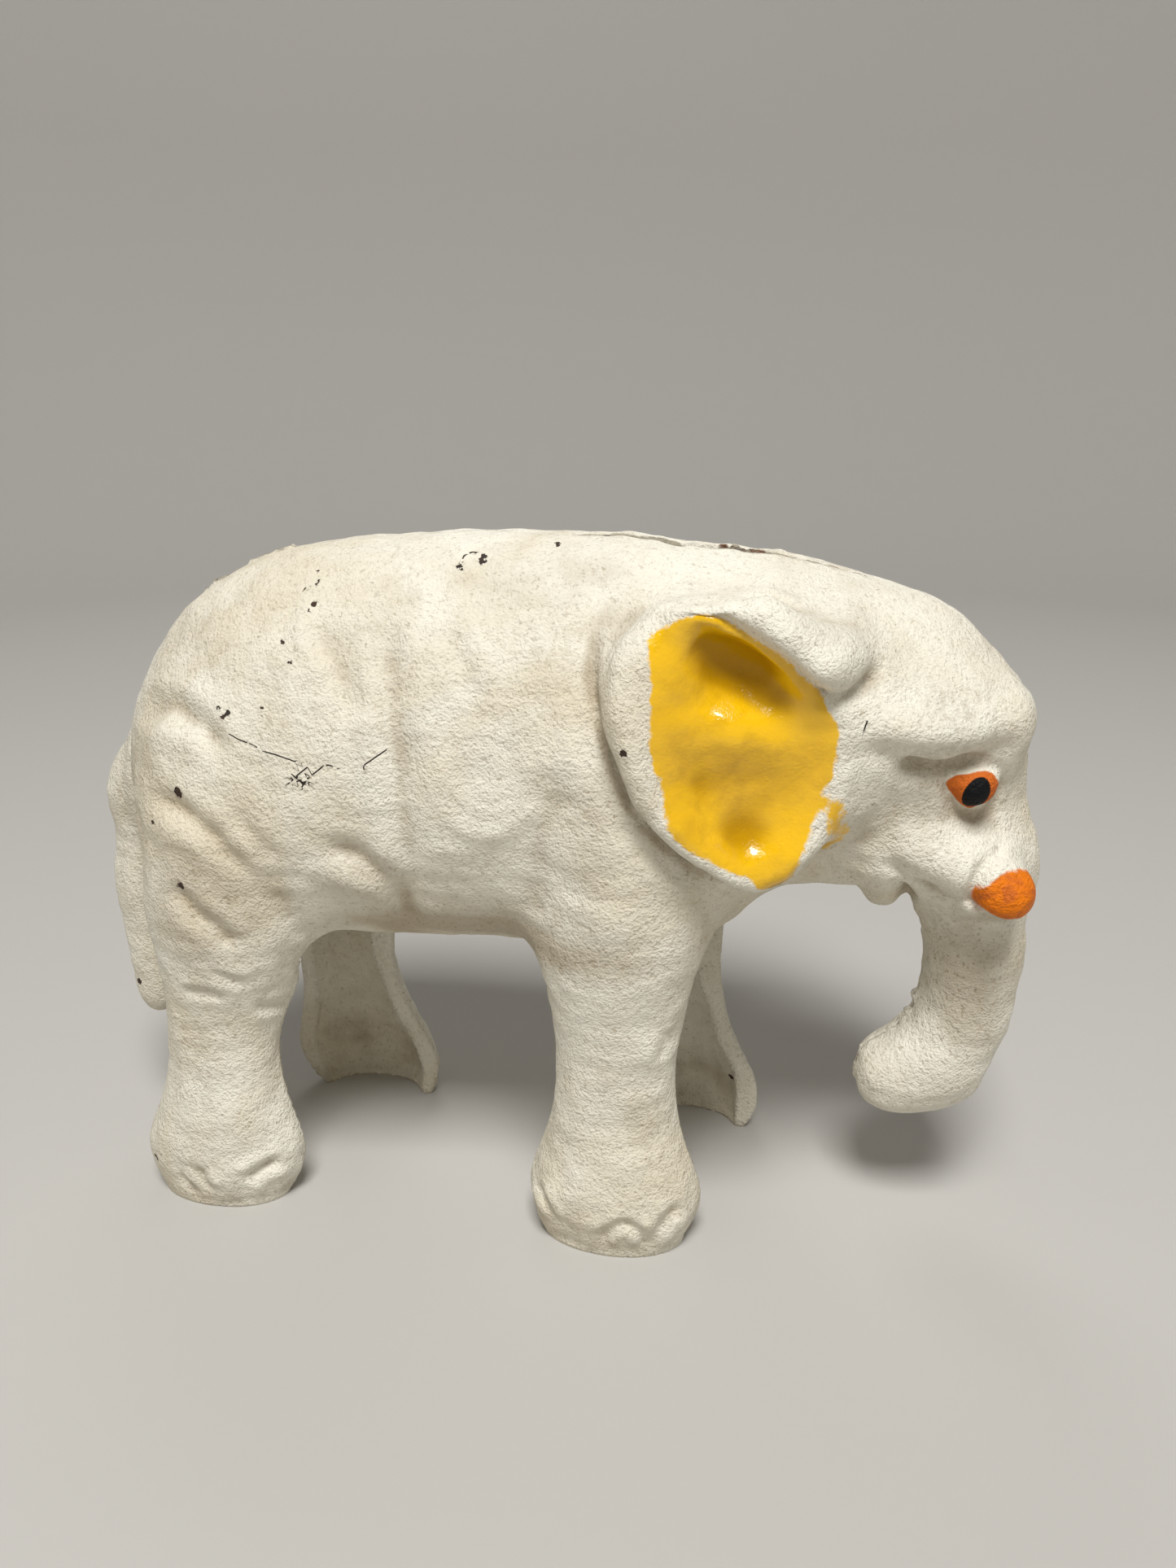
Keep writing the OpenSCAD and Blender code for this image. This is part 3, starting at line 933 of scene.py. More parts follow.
    def sculpt(self, skin: Skin) -> None:
        """Work the forms that the casting pattern was carved with into the skin."""
        facing = smooth_step(0.05, 0.35, skin.normals()[:, 1]) * skin.outer
        self.ear_edge(skin)
        amount = np.zeros(len(skin.co))
        for feature in FEATURES:
            amount += feature.amount(skin, facing)
        place = skin.unfolded
        lumps = sum(high * rolling_noise(place, wave, seed) for wave, high, seed in LUMPS)
        z = skin.co[:, 2]
        lumps *= 1.0 + FOOT_LUMPS * smooth_step(*FOOT_Z, z)
        rims = (np.abs(skin.side_y - self.rim) < 1.0) & (z < self.rim_top)
        joint = smooth_step(1.4, 0.5, skin.side_y)
        shown = np.maximum(skin.outer, self.edge(skin) * joint)
        keep = shown * ~self.machined(skin) * smooth_step(0.3, 1.6, z)
        way = skin.normals() * skin.fold
        way[:, 1] *= 1.0 - joint
        way /= np.maximum(np.linalg.norm(way, axis=1), 0.4)[:, None]
        skin.co += way * ((amount + lumps * ~rims) * keep)[:, None]
        mouth = smooth_step(*MOUTH_REACH, distance(skin.co[:, [0, 2]], MOUTH))
        skin.relax(MOUTH_ROUNDS, 0.5 * mouth, self.planes(skin))
        self.flash(skin)
        self.feet(skin)

    def edge(self, skin: Skin) -> Array:
        """Return how near each point is to the outside, so the joint's edge counts as outside."""
        return smooth_step(0.1, 0.5, skin.spread(skin.outer.astype(float), 3))

    def ear_edge(self, skin: Skin) -> None:
        """Stand the ear's rear edge clear of the body, and join its top to the neck without a gap."""
        x, y, z = skin.unfolded.T
        level = np.interp(z, *BODY_LEVEL) - 10.0 * np.clip((x - 18.0) / 20.0, 0.0, 1.5) ** 1.5 - 0.3
        far, share, turn = line_place(skin.co[:, [0, 2]], smooth_line(np.array(EAR_EDGE)))
        behind = np.where(turn > 0.0, far, 0.0)
        aside = skin.outer & (y > EAR_ROOT)
        drop = smooth_step(0.0, 1.2, behind) * smooth_step(7.0, 4.0, behind)
        drop *= smooth_step(0.0, 0.12, share) * smooth_step(0.0, 0.05, 1.0 - share) * aside
        groove = 0.8 * np.exp(-((behind - 1.5) / 0.9) ** 2) * (behind > 0.0)
        skin.co[:, 1] -= skin.side * drop * (np.clip(y - level, 0.0, 5.0) + groove)
        skin.relax(2, 0.5 * (aside & (far < 6.0)), [])

        x, y, z = skin.unfolded.T
        over = smooth_step(14.0, 20.0, x) * smooth_step(44.0, 38.0, x)
        over *= skin.outer & (y > EAR_ROOT + 0.5) & (z > 96.0)
        skin.co[:, 2] -= over * 0.6 * np.clip(z - 103.2, 0.0, 5.0) * smooth_step(18.0, 20.0, y)
        neck, crest = np.interp(x, *NECK_TOP), np.interp(x, *EAR_TOP)
        t = np.clip((y - 13.0) / 10.0, 0.0, 1.0)
        bridge = neck + (crest - neck) * t - 2.6 * t * (1.0 - t)
        skin.co[:, 2] += over * np.clip(bridge - skin.co[:, 2], 0.0, 4.0) * smooth_step(23.5, 21.5, y)
        skin.relax(16, 0.5 * over * smooth_step(27.0, 24.5, y), [])

    def feet(self, skin: Skin) -> None:
        """Draw the feet in towards their soles."""
        for leg, x, front in FEET:
            off = skin.side_view(leg)[:, 0] - x
            low = np.clip(1.0 - skin.co[:, 2] / FOOT_HEIGHT, 0.0, 1.0) ** 1.6
            use = (np.abs(off) < FOOT_REACH) * low
            skin.co[:, 0] -= use * off * np.where(off > 0.0, front, FOOT_REAR)
            skin.co[:, 1] -= use * skin.side * FOOT_SIDE * (skin.side_y - self.rim) * (skin.side_y > self.rim)

    def flash(self, skin: Skin) -> None:
        """Raise the rough fin that the parting line left along the joint."""
        place = skin.unfolded
        high = FLASH_LEAST * smooth_step(-70.0, -64.0, place[:, 0])
        for x, z, size, rise in FLASH:
            far = distance(place[:, [0, 2]], (x, z))
            high = np.maximum(high, rise * smooth_step(0.0, 0.5, 1.0 - far / size))
        ragged = 0.55 + 0.6 * rolling_noise(place, 3.0, 21) + 0.35 * rolling_noise(place, 1.5, 22)
        thin = np.exp(-((skin.side_y - self.seam) / 0.6) ** 2)
        way = skin.normals() * np.array([1.0, 0.0, 1.0])
        way /= np.maximum(np.linalg.norm(way, axis=1), 0.2)[:, None]
        skin.co += way * (np.clip(ragged, 0.0, 1.4) * high * self.edge(skin) * thin)[:, None]

    def thinned(self, skin: Skin) -> bpy.types.Mesh:
        """Return the mesh with wide cells in the coin chamber, where nothing fine shows."""
        inner = ~skin.outer & (skin.side_y > 2.0) & ~self.machined(skin)
        piece = linked(self.node + "_worked", skin.mesh)
        group = piece.vertex_groups.new(name="inner_cells")
        group.add(np.flatnonzero(inner).tolist(), 1.0, "REPLACE")
        wide = piece.modifiers.new("wide_cells", "DECIMATE")
        wide.vertex_group = group.name
        wide.ratio = 1.0 - self.thinning * inner.mean()
        return applied(piece)

    def outside(self, skin: Skin) -> Array:
        """Return a mask of the points outside the coin chamber."""
        barrier = (skin.side_y < self.seam + 0.3) | self.in_slot(skin, self.slot)
        return skin.reached(int(np.argmin(np.where(barrier, FAR, skin.co[:, 2]))), barrier)

    def in_slot(self, skin: Skin, box: tuple[float, float, float, float]) -> Array:
        """Return a mask of the points in the coin slot, as a box that slot or lips gives."""
        rear, front, half, low = box
        x, _, z = skin.co.T
        return (skin.side_y < half) & (x > rear) & (x < front) & (z > low)

    def dress(self, skin: Skin) -> None:
        """Store what the finish needs to know of each place."""
        self.mark_depths(skin)
        self.mark_paint(skin)
        self.mark_wear_and_shade(skin)

    def mark_depths(self, skin: Skin) -> None:
        """Store the low places, the chamber and the rubbed edges."""
        place = skin.unfolded
        normal = skin.normals() * skin.fold
        cavity = np.einsum("ij,ij->i", skin.spread(skin.co, CAVITY_ROUNDS) - skin.co, normal)
        skin.mark(Mark.CAVITY, skin.spread(cavity, 2))
        lips = self.in_slot(skin, self.lips)
        skin.mark(Mark.CHAMBER, skin.spread((~skin.outer & ~lips).astype(float), 2))
        fin = smooth_step(13.0, 6.0, distance(place[:, [0, 2]], RUBBED_FIN))
        rubbed = 0.6 * fin * np.exp(-(place[:, 1] / 1.6) ** 2)
        wall = ~skin.outer & lips & (normal[:, 2] < 0.75)
        skin.mark(Mark.WORN, np.maximum(skin.spread(wall.astype(float), 2), rubbed))

    def mark_paint(self, skin: Skin) -> None:
        """Store the painted areas of the ear, the tusk and the eye."""
        place = skin.unfolded
        y, side = place[:, 1], place[:, [0, 2]]
        seen = skin.outer & (y > PAINT_LEAST_Y)
        ear = EAR_PAINT.depth(side)
        for x, z, half_l, half_h in OVERSPILL:
            dab = np.hypot((side[:, 0] - x) / half_l, (side[:, 1] - z) / half_h)
            ear = np.maximum(ear, 0.4 - 0.55 * dab ** 2)
        tip, socket = (y[seen & (distance(side, spot) < SPOT)].max() for spot in (TUSK, EYE))
        stub = (place - np.array([TUSK[0], tip - TUSK_STUB, TUSK[1]])) / np.array(TUSK_SIZE)
        ball = EYE_BALL - distance(place, (EYE[0], socket, EYE[1]))
        areas = {
            Mark.EAR: np.where((y > EAR_FACE[0]) | (side[:, 1] < EAR_FACE[1]), ear, NO_PAINT),
            Mark.TUSK: TUSK_SIZE[2] * (1.0 - np.linalg.norm(stub, axis=1)),
            Mark.EYE: np.minimum(EYE_PAINT.depth(side), ball),
            Mark.PUPIL: np.minimum(PUPIL_PAINT.depth(side), ball),
        }
        for mark, depth in areas.items():
            skin.mark(mark, np.where(seen, depth, NO_PAINT))

    def mark_wear_and_shade(self, skin: Skin) -> None:
        """Store the soil and painted shade, the chips and the cracks."""
        side = skin.co[:, [0, 2]]
        soil = np.zeros(len(side))
        for x, z, half_l, half_h, strength in SOIL:
            spot = np.exp(-((side[:, 0] - x) / half_l) ** 2 - ((side[:, 1] - z) / half_h) ** 2)
            soil = np.maximum(soil, strength * spot)
        skin.mark(Mark.SOIL, np.where(skin.outer, soil, INNER_SOIL))
        chips = np.full(len(side), NO_PAINT)
        for x, z, size in CHIPS[self.side]:
            chips = np.maximum(chips, size - distance(side, (x, z)))
        skin.mark(Mark.CHIP, np.where(skin.outer, chips, NO_PAINT))
        across = near = np.full(len(side), NO_CRACK)
        for line in CRACKS[self.side]:
            gap, share, turn = line_place(side, np.array(line))
            gap = np.where(share * (1.0 - share) > 0.0, gap, gap + 0.2)
            across = np.where(gap < near, gap * turn, across)
            near = np.minimum(gap, near)
        skin.mark(Mark.CRACK, np.where(skin.outer, across, NO_CRACK))
        skin.mark(Mark.CRACKED, np.where(skin.outer, 1.0 - smooth_step(0.5, 0.9, near), 0.0))


@dataclass(frozen=True)
class PaintArea:
    """Outline of a coloured area on the side of the head.

    Attributes:
        outline: corners as (x, z) in millimetres, in order.
    """

    outline: tuple[tuple[float, float], ...]

    def depth(self, place: Array) -> Array:
        """Measure how far inside the outline points lie.

        Args:
            place: points as (x, z) in millimetres.

        Returns:
            Distance to the outline, negative outside it.
        """
        ring = smooth_line(np.array(self.outline), closed=True)
        inside = np.zeros(len(place), bool)
        x, z = place.T
        for (x0, z0), (x1, z1) in zip(ring[:-1], ring[1:]):
            if z0 != z1:
                inside ^= ((z0 > z) != (z1 > z)) & (x < (x1 - x0) * (z - z0) / (z1 - z0) + x0)
        far = line_place(place, ring)[0]
        return np.where(inside, far, -far)


def oval(x: float, z: float, half_l: float, half_h: float, turn: float = 0.0) -> PaintArea:
    """Make an oval area.

    Args:
        x: middle along the length.
        z: middle in height.
        half_l: half length.
        half_h: half height.
        turn: turn of the length from level, in degrees.

    Returns:
        The area.
    """
    c, s = math.cos(math.radians(turn)), math.sin(math.radians(turn))
    corners = []
    for i in range(8):
        a = 2.0 * math.pi * i / 8
        u, w = half_l * math.cos(a), half_h * math.sin(a)
        corners.append((x + u * c - w * s, z + u * s + w * c))
    return PaintArea(tuple(corners))


EAR_PAINT = PaintArea((
    (20.2, 98.6), (20.8, 99.9), (23.1, 101.4), (26.0, 102.4), (28.2, 102.4), (30.8, 101.4), (33.9, 99.5),
    (37.0, 97.4), (39.7, 95.0), (41.8, 92.8), (43.5, 90.0), (44.8, 86.5), (44.8, 83.8), (44.1, 80.4),
    (43.0, 77.5), (42.4, 74.7), (41.7, 72.1), (40.8, 69.4), (39.6, 66.4), (38.0, 65.2), (35.9, 65.6),
    (33.7, 67.3), (31.0, 69.1), (28.3, 70.8), (25.6, 72.6), (23.9, 74.4), (23.0, 77.7), (22.3, 81.0),
    (21.3, 84.3), (21.0, 88.6), (20.9, 92.8), (20.4, 96.0),
))
# Dabs of the ear's colour beside its front edge as x, z and half sizes
OVERSPILL = ((45.2, 75.2, 1.4, 3.2), (46.0, 72.0, 1.2, 2.2), (44.3, 69.4, 1.0, 1.8), (43.2, 77.6, 0.8, 1.6))
# Least distance of paint from the middle plane, and distance and height past which the ear's stops
PAINT_LEAST_Y = 6.0
EAR_FACE = (24.0, 99.0)
# Places of the tusk and the eye as (x, z), and radius in which their highest point is looked for
TUSK = (69.9, 62.4)
EYE = (64.1, 77.0)
SPOT = 1.5
# Half sizes of the tusk's painted stub, its middle's depth under the tip, and radius of the eye's paint
TUSK_SIZE = (5.0, 5.2, 3.6)
TUSK_STUB = 3.0
EYE_BALL = 4.7
# Corner of the mouth as (x, z), distances between which it is smoothed, and rounds of that
MOUTH = (56.8, 56.8)
MOUTH_REACH = (5.0, 3.0)
MOUTH_ROUNDS = 5
EYE_PAINT = PaintArea((
    (60.1, 78.0), (60.9, 79.2), (62.8, 79.6), (65.0, 80.0), (66.8, 79.0), (67.3, 76.6), (66.8, 74.8),
    (65.9, 73.9), (64.8, 73.6), (63.1, 74.4), (61.4, 75.9),
))
PUPIL_PAINT = oval(*EYE, 1.75, 2.5, -20.0)

# Rear edge of the ear from the neck to its tip as (x, z)
EAR_EDGE = (
    (17.6, 103.2), (14.4, 100.4), (13.2, 97.2), (13.6, 92.8), (14.8, 88.2), (17.2, 82.0), (20.1, 76.0),
    (24.4, 71.5), (30.0, 67.3), (34.6, 64.6), (37.6, 63.8), (40.4, 65.6),
)
# Least distance of the ear from the middle plane, and reach of the forms on its face
EAR_ROOT = 12.0
ON_EAR = (18.0, 40.0)

# Distance of the body's side from the middle plane behind the ear, as heights and distances
BODY_LEVEL = (
    (61.0, 66.0, 71.0, 76.0, 81.0, 86.0, 88.5, 91.0, 93.5, 96.0, 98.5, 101.0, 103.5, 106.0),
    (25.4, 25.9, 26.2, 26.3, 26.1, 25.4, 24.7, 23.9, 22.8, 21.4, 19.9, 17.9, 15.5, 12.2),
)

# Top of the neck beside the ear, and of the ear, as places along the length and heights
NECK_TOP = ((14.0, 20.0, 26.0, 32.0, 38.0, 44.0), (105.3, 104.7, 104.0, 103.3, 102.6, 101.7))
EAR_TOP = (
    (14.0, 16.0, 18.0, 20.0, 22.0, 24.0, 28.0, 32.0, 34.0, 36.0, 38.0, 40.0, 44.0),
    (95.4, 98.2, 100.4, 102.3, 103.4, 104.0, 104.5, 104.1, 103.7, 103.4, 102.6, 101.7, 100.6),
)

# Places darkened by soil and by painted shade (belly underside, lower flank, thigh, cheek, soles) as x, z,
# half sizes and strength, and the soil inside
SOIL = (
    (67.0, 45.0, 7.0, 14.0, 0.8), (-66.0, 62.0, 8.0, 22.0, 0.6), (-20.0, 52.0, 6.0, 7.0, 0.7),
    (-50.0, 50.0, 12.0, 9.0, 0.45), (-4.0, 55.0, 24.0, 6.0, 0.45), (-4.0, 52.2, 24.0, 3.2, 1.2),
    (69.0, 57.0, 5.0, 2.5, 0.8), (13.0, 70.0, 4.0, 12.0, 0.45), (27.0, 50.0, 6.0, 10.0, 0.35),
    (51.0, 70.0, 5.0, 4.0, 0.35), (6.0, 105.0, 14.0, 4.0, 0.35), (-58.0, 96.0, 12.0, 6.0, 0.4),
    (57.0, 79.0, 5.0, 3.0, 0.45), (57.0, 73.5, 6.0, 5.0, 0.5), (-45.0, 58.0, 13.0, 9.0, 0.5),
    (-20.0, 97.0, 6.0, 6.0, 0.25), (64.0, 25.0, 9.0, 5.0, 0.4), (52.0, 72.0, 8.0, 7.0, 0.5),
    (44.0, 101.0, 7.0, 4.0, 0.3), (-22.0, 60.0, 7.0, 8.0, 0.4), (14.0, 100.0, 3.0, 3.0, 0.5),
    (-50.0, 2.0, 16.0, 2.5, 0.5), (16.0, 2.0, 16.0, 2.5, 0.5),
)
INNER_SOIL = 0.3
# Rounds of smoothing that low places are measured against, and middle of the rump's rubbed fin as (x, z)
CAVITY_ROUNDS = 90
RUBBED_FIN = (-47.0, 103.5)

# Zones of the skin as the places where they start and where they are full
FACE_X, FACE_Z = (4.0, 14.0), (54.0, 60.0)
TAIL_X, TAIL_Y = (-64.0, -67.0), (9.0, 7.0)
LOW_Z, FOOT_Z = (58.0, 46.0), (16.0, 8.0)
# Place along the length where the trunk starts
TRUNK_X = 45.0
# Rounds of smoothing for all, the body, its low parts and the tail, with the tail's smoothing and push back
ALL_ROUNDS, BODY_ROUNDS, LOW_ROUNDS, TAIL_ROUNDS = 11, 24, 70, 60
TAIL_PUSH = (1.0, -1.04)
# Rounds that the face's forms are measured against, and how far those are raised, as a share
LIFT_ROUNDS = 30
FACE_LIFT = 0.75

# Lumps of the casting as wave length, height and seed
LUMPS = ((11.0, 0.13, 3), (5.0, 0.09, 5), (2.6, 0.035, 7))
# How much higher they are on the feet, as a share
FOOT_LUMPS = 0.8

# Middle of each foot along the length, and how far its front is drawn in, as a share
FEET = ((Leg.HIND, -50.0, 0.18), (Leg.FORE, 16.0, 0.15))
# The same for rear and side, and height and half length of a foot
FOOT_REAR, FOOT_SIDE = 0.12, 0.14
FOOT_HEIGHT, FOOT_REACH = 11.0, 20.0

# Least height of the fin along the joint, and where it is higher as x, z, radius and height
FLASH_LEAST = 0.15
FLASH = (
    (58.5, 50.0, 7.0, 0.7), (60.0, 37.0, 9.0, 1.3), (56.0, 30.0, 6.0, 1.0), (47.5, 22.0, 8.0, 1.1),
    (-49.0, 102.5, 17.0, 1.5),
)

# Chips down to the iron as x, z and radius, for each side
CHIPS: dict[Side, tuple[tuple[float, float, float], ...]] = {
    Side.RIGHT: (
        (-49.3, 73.5, 0.75), (17.7, 85.0, 0.5), (-73.6, 29.6, 0.6), (-49.9, 58.9, 0.5), (-50.6, 59.3, 0.35),
        (-54.6, 68.2, 0.35), (-62.5, 7.1, 0.45), (-35.4, 86.8, 0.3), (-31.5, 59.6, 0.25),
        (-30.6, 104.5, 0.25), (-30.0, 103.2, 0.3), (-31.4, 102.2, 0.28), (-29.4, 100.6, 0.28),
        (-29.8, 99.8, 0.22), (-40.6, 85.8, 0.3), (-42.3, 86.2, 0.25), (-41.5, 85.2, 0.25), (-5.9, 106.9, 0.4),
        (-5.6, 106.4, 0.3), (-8.9, 106.0, 0.35), (-8.6, 105.5, 0.22), (4.0, 108.6, 0.3), (-33.0, 95.6, 0.28),
        (-31.4, 93.0, 0.25),
    ),
    Side.LEFT: (
        (-44.0, 66.0, 0.6), (-28.0, 92.0, 0.5), (6.0, 63.0, 0.5), (12.0, 99.0, 0.45), (-60.0, 12.0, 0.5),
        (31.0, 9.0, 0.5), (-18.0, 103.0, 0.4), (-7.5, 84.5, 0.8), (3.8, 75.5, 0.7),
    ),
}

# Hairline cracks in the paint as corners (x, z), for each side
CRACKS: dict[Side, tuple[tuple[tuple[float, float], ...], ...]] = {
    Side.RIGHT: (
        ((-40.6, 83.0), (-38.6, 82.2), (-36.5, 81.7), (-34.8, 80.9), (-33.3, 80.7), (-29.8, 79.8)),
        ((-31.2, 76.4), (-29.8, 77.6), (-28.0, 79.2)),
        ((-29.0, 76.2), (-27.6, 77.9), (-25.3, 79.6), (-23.2, 79.2)),
        ((-30.8, 78.2), (-29.3, 77.2), (-27.8, 76.6)),
        ((-19.6, 79.0), (-19.8, 79.8), (-18.7, 80.5), (-16.5, 82.0)),
        ((-8.8, 105.9), (-8.9, 107.2), (-7.8, 107.5), (-6.3, 107.4), (-5.8, 106.6)),
        ((48.4, 88.6), (48.0, 87.2)),
    ),
    Side.LEFT: (
        ((-36.0, 74.0), (-32.0, 75.2), (-29.5, 74.8), (-25.0, 76.5)),
        ((-12.0, 96.0), (-9.5, 93.0), (-9.0, 91.0)),
    ),
}

